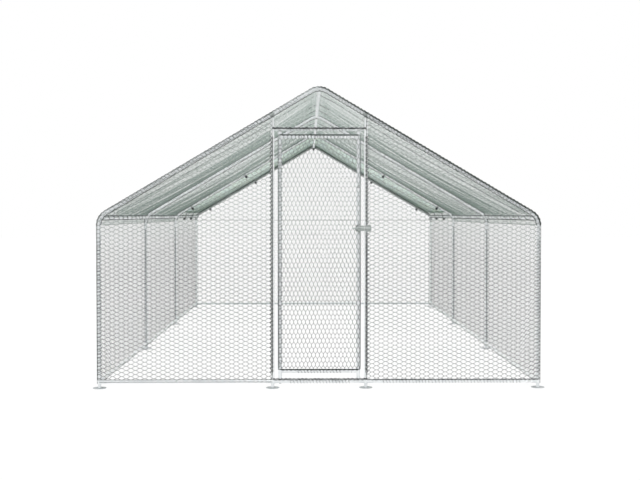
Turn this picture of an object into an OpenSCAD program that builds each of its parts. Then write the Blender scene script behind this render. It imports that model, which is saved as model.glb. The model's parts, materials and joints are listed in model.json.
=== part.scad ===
// Walk-in chicken run: four tube hoops under a ridge roof, wire netting all round,
// a pivoting door in the front gable and a fabric cover over the rear bay.
// Millimetres. Origin at the centre of the footprint on the ground, +Z up, door towards -Y.

/* [Overall size] */
// Width over the tubes
run_w = 3000; // [2400:10:4000]
// Length over the tubes
run_l = 6000; // [4500:10:9000]
// Height of the eave corner on the tube centreline
eave_h = 1160; // [1000:5:1500]
// Slope of the roof in degrees
roof_a = 30.6; // [25:0.1:38]

/* [Tubes] */
// Outer diameter of every tube
tube_d = 25; // [22:0.5:30]
// Wall of the tubes
tube_wall = 1; // [0.8:0.1:1.6]
// Centreline radius of the eave and ridge bends
bend_r = 100; // [80:5:150]
// Straight stretch at each end of a bend
bend_straight = 60; // [40:5:100]
// Length of the spigots that the tubes slide over
spigot_l = 50; // [40:5:70]
// Wall of the spigots
spigot_wall = 1.2; // [1:0.1:2]

/* [Base] */
// Height of the base rails on their centreline
rail_z = 45; // [38:1:90]
// Reach of a connector's arm before its spigot
arm_l = 65; // [40:5:120]
// Wall that a connector's hub adds to the tube's radius
hub_wall = 1.5; // [1:0.5:4]
// Diameter of the post under a connector's hub
foot_post_d = 22; // [16:0.5:24]
// Diameter of a foot plate
foot_d = 90; // [80:5:140]
// Thickness of a foot plate
foot_t = 3; // [2:0.5:6]
// Diameter of a ground peg's hole
peg_hole_d = 9; // [6:0.5:12]
// Distance of a peg's hole from the middle of its plate
peg_reach = 30; // [26:0.5:34]

/* [Door] */
// Distance between the door posts, centre to centre
post_span = 632; // [560:2:1000]
// Drop from the rafter to the lintel at a door post, between centrelines
lintel_drop = 103; // [95:1:300]
// Clear gap between a door post and the leaf
leaf_gap = 26; // [18:1:50]
// Drop from the lintel to the leaf's top rail, between centrelines
leaf_top_drop = 48; // [40:1:90]
// Rise from the sill to the leaf's bottom rail, between centrelines
leaf_bottom_rise = 70; // [45:1:150]
// Diameter of the pivot pins
pin_d = 10; // [8:0.5:12]
// Reach of a pivot pin into the leaf's stile
pin_reach = 25; // [15:1:40]
// Length of a pivot bush inside the stile
bush_l = 30; // [20:1:45]

/* [Latch] */
// Height of the latch
latch_z = 1082; // [800:1:1300]
// Diameter of the sliding bolt
bolt_d = 10; // [8:0.5:12]
// Wall of the barrel and of the keeper's loop
barrel_wall = 3; // [2:0.5:4]
// Travel of the sliding bolt
bolt_travel = 35; // [28:1:36]
// Length of the keeper's plate
keeper_l = 44; // [40:1:60]

/* [Netting and cover] */
// Width of a gap in the side and roof netting, larger than the real mesh of 25 mm
net_cell = 430; // [350:10:700]
// Pitch of the rows of gaps there
net_row = 510; // [400:10:800]
// Width of a gap in the front and door netting
front_cell = 258; // [200:2:400]
// Pitch of the rows of gaps there
front_row = 306; // [240:2:480]
// Width of the netting's wires
net_wire = 8; // [5:1:14]
// Thickness of the netting
net_t = 2; // [1:0.5:3]
// Thickness of the cover
cover_t = 1.2; // [0.8:0.2:3]
// Overhang of the cover past the hoops it is tied to
cover_lap = 30; // [20:5:80]
// Diameter of a tie's ball
ball_d = 30; // [20:1:36]

/* [Hidden] */
$fn = 48;

// Colours of the finishes
zinc = "#b7bdc0";
bright_zinc = "#d3d6d8";
dull_zinc = "#7f8588";
wire = "#98a19e";
green = "#4f8a63";
black = "#1d1e20";

// Clearances
eps = 0.01;
weld = 1;
fit = 0.2;
butt = 0.3;
seat = 0.3;
tight = 0.1;
run = 0.05;
bolt_entry = 0.3;
seam = 1;

// Tubes and spigots
tube_r = tube_d / 2;
tube_bore = tube_d - 2 * tube_wall;
spigot_d = tube_bore - 2 * fit;
spigot_bore = spigot_d - 2 * spigot_wall;

// Screws that lock the spigots
screw_d = 5;
screw_head_d = 9;
screw_head_t = 3;
screw_end = 1;

// Hoops
bays = 3;
bay_l = (run_l - tube_d) / bays;
front_y = -(run_l - tube_d) / 2;
rear_y = -front_y;
function hoop_y(i) = front_y + i * bay_l;
leg_x = run_w / 2 - tube_r;
slope_l = leg_x / cos(roof_a);
eave_turn = 90 - roof_a;
eave_t = bend_r * tan(eave_turn / 2);
eave_c = [leg_x - bend_r, eave_h - eave_t];
eave_mid = eave_c + bend_r * [cos(eave_turn / 2), sin(eave_turn / 2)];
ridge_t = bend_r * tan(roof_a);
ridge_corner = eave_h + leg_x * tan(roof_a);
ridge_c = ridge_corner - bend_r / cos(roof_a);
ridge_z = ridge_c + bend_r;
rafter_s = eave_t + bend_straight + butt;
rafter_l = slope_l - ridge_t - bend_straight - butt - rafter_s;

// Base
hub_r = tube_r + hub_wall;
hub_lip = 3;
hub_z0 = rail_z - tube_r - hub_lip;
hub_z1 = rail_z + tube_r + hub_lip;
leg_z = hub_z1 + butt;
leg_l = eave_c[1] - bend_straight - butt - leg_z;
side_rail_l = bay_l - 2 * (arm_l + butt);
peg_turn = 45;

// Door frame
post_x = post_span / 2;
rafter_post_z = eave_h + (leg_x - post_x) * tan(roof_a);
clamp_t = 2;
clamp_w = 25;
clamp_neck = 8;
clamp_r = tube_r + fit + clamp_t;
clamp_s = (leg_x - post_x) / cos(roof_a);
post_top = rafter_post_z - clamp_r / cos(roof_a) - clamp_neck;
post_l = post_top - leg_z;
lintel_z = rafter_post_z - lintel_drop;
lintel_l = post_span - 2 * (tube_r + butt);

// Door leaf
leaf_x = post_x - tube_d - leaf_gap;
bush_flange = 2;
bush_play = 0.4;
pivot_gap = bush_flange + bush_play;
stile_z0 = rail_z + tube_r + pivot_gap;
stile_z1 = lintel_z - tube_r - pivot_gap;
stile_l = stile_z1 - stile_z0;
leaf_top_z = lintel_z - leaf_top_drop;
leaf_bottom_z = rail_z + leaf_bottom_rise;
leaf_rail_l = 2 * (leaf_x - tube_r - butt);
pin_head_d = 16;
pin_head_t = 3;

// Latch
plate_t = 2;
plate_h = 36;
keeper_h = 38;
barrel_r = bolt_d / 2 + run + barrel_wall;
barrel_back = 3.5;
barrel_x0 = leaf_x - tube_r - barrel_back;
latch_gap = 3;
barrel_x1 = post_x - tube_r - latch_gap / 2;
keeper_x0 = post_x - tube_r + latch_gap / 2;
keeper_tail = 8;
keeper_loop_l = keeper_l - keeper_tail;
latch_face = front_y - tube_r - tight;
latch_y = latch_face - plate_t - barrel_r + weld;
latch_screw_z = 12.5;
nose_back = 1;
bolt_x1 = barrel_x1 - nose_back;
bolt_hold = 11;
bolt_x0 = barrel_x0 + bolt_hold - bolt_travel;
knob_d = 6;
knob_x = barrel_x0 + knob_d;
knob_reach = 16;
knob_ball_d = 10;
knob_play = 0.3;
knob_slot = knob_d + 2 * knob_play;

// Netting: a mesh is the width of its gaps and the pitch of their rows
wide_mesh = [net_cell, net_row];
front_mesh = [front_cell, front_row];
net_edge = 10;
net_twist = 0.375;
net_cell_over = 0.3;
net_row_over = 0.5;
net_roof_over = 0.5;
wall_z = rail_z - tube_r;
wall_net_h = eave_c[1] - seam - wall_z;
roof_net_l = slope_l - eave_t - ridge_t - 2 * seam;
skin = tube_r + seat;
gable_top = ridge_z + tube_d;
door_net_w = 2 * (leaf_x + tube_r);
door_net_h = leaf_top_z - leaf_bottom_z + tube_d;

// Cover and its ties
cover_in = skin + net_t + seat;
cover_y0 = hoop_y(2) - cover_lap;
cover_y1 = rear_y + cover_lap;
ball_r = ball_d / 2;
tie_drop = tube_r + seat + ball_r;
tie_clear = 0.5;
tie_in = max(0, ball_r - tube_r) + tie_clear;
low_tie_s = rafter_s + spigot_l + ball_d;
mid_tie_s = slope_l / 2;

// Frames that carry pieces to their places
module sides() {
    children();
    mirror([1, 0, 0]) children();
}

module at_hoop(i) translate([0, hoop_y(i), 0]) children();

// +Z up the right-hand roof slope, +X out of the roof
module at_slope(s) translate([leg_x, 0, eave_h]) rotate([0, -eave_turn, 0]) translate([0, 0, s]) children();

// +Z along the Y axis in direction dir, turned about itself by roll
module along_y(dir, roll = 0) rotate([-90 * dir, 0, 0]) rotate([0, 0, roll]) children();

// +Z along the X axis in direction dir, turned about itself by roll
module along_x(dir, roll = 0) rotate([0, 90 * dir, 0]) rotate([0, 0, roll]) children();

// Tubes, spigots and screws: a screw enters a tube on its -X side
module screw_hole() rotate([0, -90, 0]) cylinder(d = screw_d + 2 * fit, h = tube_d);

module tube_ends(l) for (z = [spigot_l / 2, l - spigot_l / 2]) translate([0, 0, z]) children();

module tube(l, screws = true) {
    difference() {
        cylinder(d = tube_d, h = l);
        translate([0, 0, -eps]) cylinder(d = tube_bore, h = l + 2 * eps);
        if (screws) tube_ends(l) screw_hole();
    }
}

module spigot(root) translate([0, 0, -root]) cylinder(d = spigot_d, h = root + spigot_l);

module spigot_void(root, screws = true) {
    translate([0, 0, -root]) cylinder(d = spigot_bore, h = root + spigot_l + eps);
    if (screws) translate([0, 0, butt + spigot_l / 2]) screw_hole();
}

module screw(grip = 0) {
    head_at = tube_r + tight + grip;
    shank_from = spigot_bore / 2 - screw_end;
    rotate([0, -90, 0]) translate([0, 0, shank_from]) cylinder(d = screw_d, h = head_at - shank_from + eps);
    rotate([0, -90, 0]) translate([0, 0, head_at]) cylinder(d = screw_head_d, h = screw_head_t);
}

module tube_screws(l) tube_ends(l) screw();

// Places of the straight tubes
module leg_places(i) sides() at_hoop(i) translate([leg_x, 0, leg_z]) children();

module rafter_places(i) sides() at_hoop(i) at_slope(rafter_s) children();

module purlin_places(x, z) {
    for (i = [0 : bays - 1])
        translate([x, hoop_y(i) + tube_r + butt, z]) along_y(1, -90) children();
}

module side_rail_places() {
    for (i = [0 : bays - 1])
        translate([leg_x, hoop_y(i) + arm_l + butt, rail_z]) along_y(1) children();
}

module front_rail_place() translate([post_x + arm_l + butt, front_y, rail_z]) along_x(1, -90) children();

module rear_rail_place() translate([-leg_x + arm_l + butt, rear_y, rail_z]) along_x(1, 90) children();

module sill_place() translate([-post_x + hub_r + butt, front_y, rail_z]) along_x(1, -90) children();

module post_place() translate([post_x, front_y, leg_z]) rotate([0, 0, -90]) children();

module lintel_place() translate([-lintel_l / 2, front_y, lintel_z]) along_x(1, -90) children();

purlin_l = bay_l - 2 * (tube_r + butt);
front_rail_l = leg_x - post_x - 2 * (arm_l + butt);
rear_rail_l = 2 * (leg_x - arm_l - butt);
sill_l = 2 * (post_x - hub_r - butt);

// Hoop pieces
module legs(i) color(zinc) leg_places(i) tube(leg_l);

module rafters(i) color(zinc) rafter_places(i) tube(rafter_l);

module eave_arc(d) {
    translate([eave_c[0], 0, eave_c[1]]) rotate([90, 0, 0])
        rotate_extrude(angle = eave_turn) translate([bend_r, 0]) circle(d = d);
}

module eave_ends() {
    translate([leg_x, 0, eave_c[1]]) rotate([180, 0, 0]) children();
    at_slope(eave_t) children();
}

// A shallow ring that welds a bend to its straight stretch
module end_ring(d) translate([0, 0, -weld]) cylinder(d = d + seat, h = 2 * weld);

// Directions along Y in which a hoop has a neighbour
function neighbours(i) = [for (dir = [-1, 1]) if (i + dir >= 0 && i + dir <= bays) dir];

module stubs(i, x, z) for (dir = neighbours(i)) translate([x, 0, z]) along_y(dir, -90 * dir) children();

module eave_bend(i) {
    difference() {
        union() {
            eave_arc(tube_d);
            eave_ends() end_ring(tube_d);
            eave_ends() cylinder(d = tube_d, h = bend_straight);
            eave_ends() translate([0, 0, bend_straight]) spigot(weld);
            stubs(i, eave_mid[0], eave_mid[1]) translate([0, 0, tube_r]) spigot(tube_r);
        }
        eave_arc(spigot_bore);
        eave_ends() end_ring(spigot_bore);
        eave_ends() translate([0, 0, bend_straight]) spigot_void(bend_straight);
        stubs(i, eave_mid[0], eave_mid[1]) translate([0, 0, tube_r]) spigot_void(0);
    }
}

module eave_bends(i) color(zinc) sides() at_hoop(i) eave_bend(i);

module ridge_arc(d) {
    translate([0, 0, ridge_c]) rotate([90, 0, 0]) rotate([0, 0, 90 - roof_a])
        rotate_extrude(angle = 2 * roof_a) translate([bend_r, 0]) circle(d = d);
}

module ridge_ends() sides() at_slope(slope_l - ridge_t) rotate([180, 0, 0]) children();

module ridge_bend(i) {
    color(zinc) at_hoop(i) difference() {
        union() {
            ridge_arc(tube_d);
            ridge_ends() end_ring(tube_d);
            ridge_ends() cylinder(d = tube_d, h = bend_straight);
            ridge_ends() translate([0, 0, bend_straight]) spigot(weld);
            stubs(i, 0, ridge_z) translate([0, 0, tube_r]) spigot(tube_r);
        }
        ridge_arc(spigot_bore);
        ridge_ends() end_ring(spigot_bore);
        ridge_ends() translate([0, 0, bend_straight]) spigot_void(bend_straight);
        stubs(i, 0, ridge_z) translate([0, 0, tube_r]) spigot_void(0);
    }
}

// Purlins and base rails
module ridge_purlins() color(zinc) purlin_places(0, ridge_z) tube(purlin_l);

module right_eave_purlins() color(zinc) purlin_places(eave_mid[0], eave_mid[1]) tube(purlin_l);

module left_eave_purlins() mirror([1, 0, 0]) right_eave_purlins();

module right_base_rails() color(zinc) side_rail_places() tube(side_rail_l);

module left_base_rails() mirror([1, 0, 0]) right_base_rails();

module rear_base_rail() color(zinc) rear_rail_place() tube(rear_rail_l);

module front_right_base_rail() color(zinc) front_rail_place() tube(front_rail_l);

module front_left_base_rail() mirror([1, 0, 0]) front_right_base_rail();

module door_sill() {
    color(zinc) difference() {
        sill_place() tube(sill_l);
        pivot_hole(rail_z);
    }
}

// Feet: plates with two peg holes, and connectors that hold the rails and the uprights
module ends() {
    children();
    mirror([0, 1, 0]) children();
}

module corner_places() sides() ends() translate([leg_x, front_y, 0]) children();

module side_places() sides() ends() translate([leg_x, hoop_y(1), 0]) children();

module door_places() sides() translate([post_x, front_y, 0]) children();

module foot_plate() {
    difference() {
        cylinder(d = foot_d, h = foot_t);
        for (turn = [peg_turn, peg_turn + 180])
            rotate([0, 0, turn]) translate([peg_reach, 0, -eps])
                cylinder(d = peg_hole_d, h = foot_t + 2 * eps);
    }
}

module foot_plates() {
    color(bright_zinc) {
        corner_places() foot_plate();
        side_places() foot_plate();
        door_places() foot_plate();
    }
}

// An arm is [axis, direction, roll, reach]
module arm_frame(arm) {
    if (arm[0] == "x") translate([0, 0, rail_z]) along_x(arm[1], arm[2]) children();
    else translate([0, 0, rail_z]) along_y(arm[1], arm[2]) children();
}

module connector(arms, roll = 0) {
    difference() {
        union() {
            translate([0, 0, foot_t]) cylinder(d = foot_post_d, h = hub_z0 - foot_t + eps);
            translate([0, 0, hub_z0]) cylinder(r = hub_r, h = hub_z1 - hub_z0);
            translate([0, 0, hub_z1]) spigot(weld);
            for (arm = arms) arm_frame(arm) cylinder(d = tube_d, h = arm[3]);
            for (arm = arms) arm_frame(arm) translate([0, 0, arm[3]]) spigot(weld);
        }
        translate([0, 0, hub_z1]) rotate([0, 0, roll]) spigot_void(hub_z1 - hub_z0 - hub_lip);
        for (arm = arms) arm_frame(arm) translate([0, 0, arm[3]]) spigot_void(arm[3] - hub_r);
    }
}

module corner_connectors() {
    color(zinc) corner_places() connector([["x", -1, -90, arm_l], ["y", 1, 0, arm_l]]);
}

module side_connectors() color(zinc) side_places() connector([["y", 1, 0, arm_l], ["y", -1, 0, arm_l]]);

module door_connectors() {
    color(zinc) difference() {
        door_places() connector([["x", 1, -90, arm_l], ["x", -1, -90, hub_r]], -90);
        pivot_hole(rail_z);
    }
}

// Door frame
module lintel_stub() {
    translate([post_x, front_y, lintel_z]) along_x(-1, -90) translate([0, 0, tube_r]) children();
}

module keeper_screw_places() {
    for (z = [-latch_screw_z, latch_screw_z])
        translate([post_x, front_y, latch_z + z]) rotate([0, 0, 90]) children();
}

module door_post() {
    difference() {
        union() {
            post_place() cylinder(d = tube_d, h = post_l);
            lintel_stub() spigot(tube_r);
        }
        post_place() translate([0, 0, -eps]) cylinder(d = tube_bore, h = post_l + 2 * eps);
        post_place() tube_ends(post_l) screw_hole();
        lintel_stub() spigot_void(0);
    }
}

module left_door_post() {
    color(zinc) difference() {
        mirror([1, 0, 0]) door_post();
        pivot_hole(lintel_z);
    }
}

module right_door_post() {
    color(zinc) difference() {
        door_post();
        keeper_screw_places() screw_hole();
    }
}

module lintel() {
    color(zinc) difference() {
        lintel_place() tube(lintel_l);
        pivot_hole(lintel_z);
    }
}

module clamp_ring(grow) {
    at_hoop(0) at_slope(clamp_s - clamp_w / 2 - grow) cylinder(r = clamp_r + grow, h = clamp_w + 2 * grow);
}

module clamp_spigot() {
    translate([post_x, front_y, post_top + butt]) rotate([180, 0, 0]) rotate([0, 0, 90]) children();
}

module rafter_clamps() {
    color(dull_zinc) sides() difference() {
        union() {
            clamp_ring(0);
            clamp_spigot() spigot(rafter_post_z - post_top - butt);
        }
        at_hoop(0) at_slope(0) cylinder(r = tube_r + fit, h = slope_l);
        clamp_spigot() spigot_void(0);
    }
}

// Pivots of the leaf, on the axis of its left stile
module pivot_hole(z) {
    translate([-leaf_x, front_y, z - tube_d]) cylinder(d = pin_d + 2 * tight, h = 2 * tube_d);
}

module pivot_pin(foot, tip) {
    cylinder(d = pin_head_d, h = pin_head_t);
    cylinder(d = pin_d, h = tip - foot);
}

module pivot_pins() {
    low_foot = rail_z - tube_r - tight - pin_head_t;
    high_foot = lintel_z + tube_r + tight + pin_head_t;
    color(bright_zinc) {
        translate([-leaf_x, front_y, low_foot]) pivot_pin(low_foot, stile_z0 + pin_reach);
        translate([-leaf_x, front_y, high_foot]) rotate([180, 0, 0])
            pivot_pin(stile_z1 - pin_reach, high_foot);
    }
}

module pivot_bush() {
    difference() {
        union() {
            translate([0, 0, -bush_flange]) cylinder(d = tube_d, h = bush_flange);
            cylinder(d = tube_bore - 2 * tight, h = bush_l);
        }
        translate([0, 0, -bush_flange - eps])
            cylinder(d = pin_d + 2 * run, h = bush_flange + bush_l + 2 * eps);
    }
}

module pivot_bushes() {
    color(black) {
        translate([-leaf_x, front_y, stile_z0]) pivot_bush();
        translate([-leaf_x, front_y, stile_z1]) rotate([180, 0, 0]) pivot_bush();
    }
}

// Every screw that locks a tube of the frame, and the two that hold the keeper
module joint_screws() {
    color(bright_zinc) {
        for (i = [0 : bays]) {
            leg_places(i) tube_screws(leg_l);
            rafter_places(i) tube_screws(rafter_l);
        }
        purlin_places(0, ridge_z) tube_screws(purlin_l);
        sides() purlin_places(eave_mid[0], eave_mid[1]) tube_screws(purlin_l);
        sides() side_rail_places() tube_screws(side_rail_l);
        sides() front_rail_place() tube_screws(front_rail_l);
        sides() post_place() tube_screws(post_l);
        rear_rail_place() tube_screws(rear_rail_l);
        sill_place() tube_screws(sill_l);
        lintel_place() tube_screws(lintel_l);
        keeper_screw_places() screw(plate_t);
    }
}

// Door leaf
module leaf_stubs() {
    for (z = [leaf_bottom_z, leaf_top_z])
        translate([leaf_x, front_y, z]) along_x(-1) translate([0, 0, tube_r]) children();
}

module stile() {
    difference() {
        union() {
            translate([leaf_x, front_y, stile_z0]) cylinder(d = tube_d, h = stile_l);
            leaf_stubs() spigot(tube_r);
        }
        translate([leaf_x, front_y, stile_z0 - eps]) cylinder(d = tube_bore, h = stile_l + 2 * eps);
        leaf_stubs() spigot_void(0, false);
    }
}

module hinge_stile() color(zinc) mirror([1, 0, 0]) stile();

module barrel_screw_places() {
    for (z = [-latch_screw_z, latch_screw_z])
        translate([leaf_x, front_y, latch_z + z]) rotate([0, 0, 90]) children();
}

module latch_stile() {
    color(zinc) difference() {
        stile();
        barrel_screw_places() screw_hole();
    }
}

module leaf_rail(z) color(zinc) translate([-leaf_rail_l / 2, front_y, z]) along_x(1) tube(leaf_rail_l, false);

module leaf_top_rail() leaf_rail(leaf_top_z);

module leaf_bottom_rail() leaf_rail(leaf_bottom_z);

// Latch: a plate with a slotted barrel, a sliding bolt with a knob, and a keeper on the post
module latch_plate(x0, x1, h) {
    translate([x0, latch_face - plate_t, latch_z - h / 2]) cube([x1 - x0, plate_t, h]);
}

module latch_rod(x0, x1, d) translate([x0, latch_y, latch_z]) along_x(1) cylinder(d = d, h = x1 - x0);

module latch_barrel() {
    color(dull_zinc) difference() {
        union() {
            latch_plate(barrel_x0, barrel_x1, plate_h);
            latch_rod(barrel_x0, barrel_x1, 2 * barrel_r);
        }
        latch_rod(barrel_x0 - eps, barrel_x1 + eps, bolt_d + 2 * run);
        translate([knob_x - knob_slot / 2, latch_y - 2 * barrel_r, latch_z - knob_slot / 2])
            cube([bolt_travel + knob_slot, 2 * barrel_r, knob_slot]);
        barrel_screw_places() screw_hole();
    }
}

module barrel_screws() color(bright_zinc) barrel_screw_places() screw(plate_t);

module latch_bolt() {
    color(dull_zinc) {
        latch_rod(bolt_x0, bolt_x1, bolt_d);
        translate([knob_x, latch_y, latch_z]) rotate([90, 0, 0]) cylinder(d = knob_d, h = knob_reach);
        translate([knob_x, latch_y - knob_reach, latch_z]) sphere(d = knob_ball_d);
    }
}

module latch_keeper() {
    color(dull_zinc) difference() {
        union() {
            latch_plate(keeper_x0, keeper_x0 + keeper_l, keeper_h);
            latch_rod(keeper_x0, keeper_x0 + keeper_loop_l, 2 * barrel_r);
        }
        latch_rod(keeper_x0 - eps, keeper_x0 + keeper_loop_l + eps, bolt_d + 2 * bolt_entry);
        keeper_screw_places() screw_hole();
    }
}

// Netting: a hexagon gap stands on its point, with its twisted sides upright
module gap(mesh) {
    side = net_twist * mesh[1] / 2;
    tip = mesh[1] - side;
    half = mesh[0] / 2;
    shrink = 1 - net_wire / mesh[0];
    polygon(shrink * [[0, tip], [half, side], [half, -side], [0, -tip], [-half, -side], [-half, side]]);
}

function under_roof(p, over) = p[1] < ridge_corner - abs(p[0]) * tan(roof_a) + over;

// Staggered gaps of the box from lo to hi, without the smallest cut pieces
module gaps(lo, hi, mesh, turned = false, roofed = false) {
    cell = mesh[0];
    row = mesh[1];
    room = hi - lo;
    across = turned ? room[1] : room[0];
    along = turned ? room[0] : room[1];
    out = turned ? [net_row_over * row, net_cell_over * cell] : [net_cell_over * cell, net_row_over * row];
    columns = ceil(across / 2 / cell) + 1;
    rows = ceil(along / 2 / row) + 1;
    for (j = [-rows : rows], i = [-columns : columns]) {
        u = (i + abs(j % 2) / 2) * cell;
        v = j * row;
        p = (lo + hi) / 2 + (turned ? [v, u] : [u, v]);
        off = p - (lo + hi) / 2;
        in_box = abs(off[0]) < room[0] / 2 + out[0] && abs(off[1]) < room[1] / 2 + out[1];
        if (in_box && (!roofed || under_roof(p, net_roof_over * row)))
            translate(p) rotate(turned ? 90 : 0) gap(mesh);
    }
}

module rect_net(w, h, mesh) {
    edge = [net_edge, net_edge];
    linear_extrude(net_t) difference() {
        square([w, h]);
        intersection() {
            translate(edge) square([w, h] - 2 * edge);
            gaps(edge, [w, h] - edge, mesh);
        }
    }
}

// Points of a hoop's line, moved out by o from the tube's centreline
arc_steps = 8;

function eave_line(o) = [
    for (k = [0 : arc_steps])
        let (a = k * eave_turn / arc_steps)
            eave_c + (bend_r + o) * [cos(a), sin(a)]
];

function ridge_line(o) = [
    for (k = [0 : arc_steps])
        let (a = 90 - roof_a + k * 2 * roof_a / arc_steps)
            [0, ridge_c] + (bend_r + o) * [cos(a), sin(a)]
];

function flipped(line) = [for (k = [len(line) - 1 : -1 : 0]) line[k]];

function mirrored(line) = [for (p = flipped(line)) [-p[0], p[1]]];

module hoop_2d(o) {
    right = [[leg_x + o, 0]];
    left = [[-leg_x - o, 0]];
    polygon(concat(right, eave_line(o), ridge_line(o), mirrored(eave_line(o)), left));
}

module box_2d(lo, hi) translate(lo) square(hi - lo);

module gable_net(lo, hi, mesh, turned) {
    edge = [net_edge, net_edge];
    linear_extrude(net_t) difference() {
        intersection() {
            hoop_2d(tube_r);
            box_2d(lo, hi);
        }
        intersection() {
            hoop_2d(tube_r - net_edge);
            box_2d(lo + edge, hi - edge);
            gaps(lo + edge, hi - edge, mesh, turned, true);
        }
    }
}

// Hollows behind the netting for the hubs of the connectors
module hub_rooms() {
    corner_places() hub_room();
    side_places() hub_room();
    door_places() hub_room();
}

module hub_room() {
    translate([0, 0, hub_z0 - seat]) cylinder(r = hub_r + seat, h = hub_z1 - hub_z0 + 2 * seat);
}

// Netting on the sides and roof
module right_wall_net() {
    color(wire) difference() {
        translate([run_w / 2 + seat, -run_l / 2, wall_z]) rotate([90, 0, 90])
            rect_net(run_l, wall_net_h, wide_mesh);
        hub_rooms();
    }
}

module left_wall_net() mirror([1, 0, 0]) right_wall_net();

module right_roof_net() {
    color(wire) difference() {
        at_slope(eave_t + seam) translate([skin, -run_l / 2, 0]) rotate([90, 0, 90])
            rect_net(run_l, roof_net_l, wide_mesh);
        clamp_ring(seat);
    }
}

module left_roof_net() mirror([1, 0, 0]) right_roof_net();

// A band of netting round a bend, with one row of gaps along its crown
module band_net(inner, outer) {
    translate([0, run_l / 2, 0]) rotate([90, 0, 0]) linear_extrude(run_l)
        polygon(concat(inner, flipped(outer)));
}

module band_gaps(h) {
    count = floor(run_l / net_row);
    pitch = run_l / count;
    half = pitch / 2 - net_wire / 2;
    side = h / 2;
    upper = [[half, 0], [half - side, side], [side - half, side]];
    for (k = [0 : count - 1])
        translate([0, (k + 0.5) * pitch - run_l / 2, 0]) rotate([90, 0, 90]) linear_extrude(2 * bend_r)
            polygon(concat(upper, -upper));
}

module eave_net_strips() {
    chord = 2 * (bend_r + skin) * sin(eave_turn / 2);
    color(wire) sides() difference() {
        band_net(eave_line(skin), eave_line(skin + net_t));
        translate([eave_c[0], 0, eave_c[1]]) rotate([0, -eave_turn / 2, 0]) band_gaps(chord - 2 * net_edge);
    }
}

module ridge_net_strip() {
    chord = 2 * (bend_r + skin) * sin(roof_a);
    color(wire) difference() {
        band_net(ridge_line(skin), ridge_line(skin + net_t));
        translate([0, 0, ridge_c]) rotate([0, -90, 0]) band_gaps(chord - 2 * net_edge);
    }
}

// Netting on the front and the rear
module on_front() translate([0, front_y - skin, 0]) rotate([90, 0, 0]) children();

module on_rear() translate([0, rear_y + skin + net_t, 0]) rotate([90, 0, 0]) children();

module latch_room(x0, x1, h) {
    grow = seat + tight;
    translate([x0 - grow, front_y - 2 * tube_d, latch_z - h / 2 - grow])
        cube([x1 - x0 + 2 * grow, 2 * tube_d, h + 2 * grow]);
}

module front_side_net() {
    difference() {
        on_front() gable_net([post_x - tube_r, wall_z], [run_w / 2, gable_top], front_mesh, true);
        clamp_ring(seat);
        hub_rooms();
    }
}

module front_left_net() color(wire) mirror([1, 0, 0]) front_side_net();

module front_right_net() {
    color(wire) difference() {
        front_side_net();
        latch_room(keeper_x0, keeper_x0 + keeper_l, keeper_h);
    }
}

module front_gable_net() {
    half = post_x - tube_r - seam;
    color(wire) difference() {
        on_front() gable_net([-half, lintel_z - tube_r], [half, gable_top], front_mesh, true);
        sides() clamp_ring(seat);
    }
}

module rear_wall_net() {
    color(wire) difference() {
        on_rear() gable_net([-run_w / 2, wall_z], [run_w / 2, eave_c[1] - seam], wide_mesh, false);
        hub_rooms();
    }
}

module rear_gable_net() {
    color(wire) on_rear() gable_net([-run_w / 2, eave_c[1]], [run_w / 2, gable_top], wide_mesh, false);
}

module door_net() {
    color(wire) difference() {
        translate([-door_net_w / 2, 0, leaf_bottom_z - tube_r]) on_front()
            rect_net(door_net_w, door_net_h, front_mesh);
        latch_room(barrel_x0, barrel_x1, plate_h);
    }
}

// Cover over the rear bay, and the balls that hold its ties under the tubes
function slope_point(s, o) =
    [leg_x, eave_h] + s * [-cos(roof_a), sin(roof_a)] + o * [sin(roof_a), cos(roof_a)];

function cover_line(o) = concat([slope_point(eave_t, o)], ridge_line(o), mirrored([slope_point(eave_t, o)]));

module cover() {
    color(green) translate([0, cover_y1, 0]) rotate([90, 0, 0]) linear_extrude(cover_y1 - cover_y0)
        polygon(concat(cover_line(cover_in), flipped(cover_line(cover_in + cover_t))));
}

module tie_ball() sphere(d = ball_d);

module cover_ties() {
    color(black) {
        for (i = [2, 3]) translate([0, hoop_y(i) - tie_in, 0]) {
            translate([0, 0, ridge_z - tie_drop]) tie_ball();
            sides() for (s = [low_tie_s, mid_tie_s]) at_slope(s) translate([-tie_drop, 0, 0]) tie_ball();
        }
        sides() for (k = [1, 2])
            translate([eave_mid[0], hoop_y(2) + k * bay_l / 3, eave_mid[1] - tie_drop]) tie_ball();
    }
}

legs(0);  // front_legs
legs(1);  // second_legs
legs(2);  // third_legs
legs(3);  // rear_legs
eave_bends(0);  // front_eave_bends
eave_bends(1);  // second_eave_bends
eave_bends(2);  // third_eave_bends
eave_bends(3);  // rear_eave_bends
rafters(0);  // front_rafters
rafters(1);  // second_rafters
rafters(2);  // third_rafters
rafters(3);  // rear_rafters
ridge_bend(0);  // front_ridge_bend
ridge_bend(1);  // second_ridge_bend
ridge_bend(2);  // third_ridge_bend
ridge_bend(3);  // rear_ridge_bend
ridge_purlins();
left_eave_purlins();
right_eave_purlins();
left_base_rails();
right_base_rails();
rear_base_rail();
front_left_base_rail();
front_right_base_rail();
door_sill();
foot_plates();
corner_connectors();
side_connectors();
door_connectors();
left_door_post();
right_door_post();
lintel();
rafter_clamps();
pivot_pins();
joint_screws();
hinge_stile();
latch_stile();
leaf_top_rail();
leaf_bottom_rail();
pivot_bushes();
latch_barrel();
barrel_screws();
latch_bolt();
latch_keeper();
left_wall_net();
right_wall_net();
left_roof_net();
right_roof_net();
eave_net_strips();
ridge_net_strip();
front_left_net();
front_right_net();
front_gable_net();
rear_wall_net();
rear_gable_net();
door_net();
cover();
cover_ties();
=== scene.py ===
import itertools
import json
import math
import random

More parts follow.
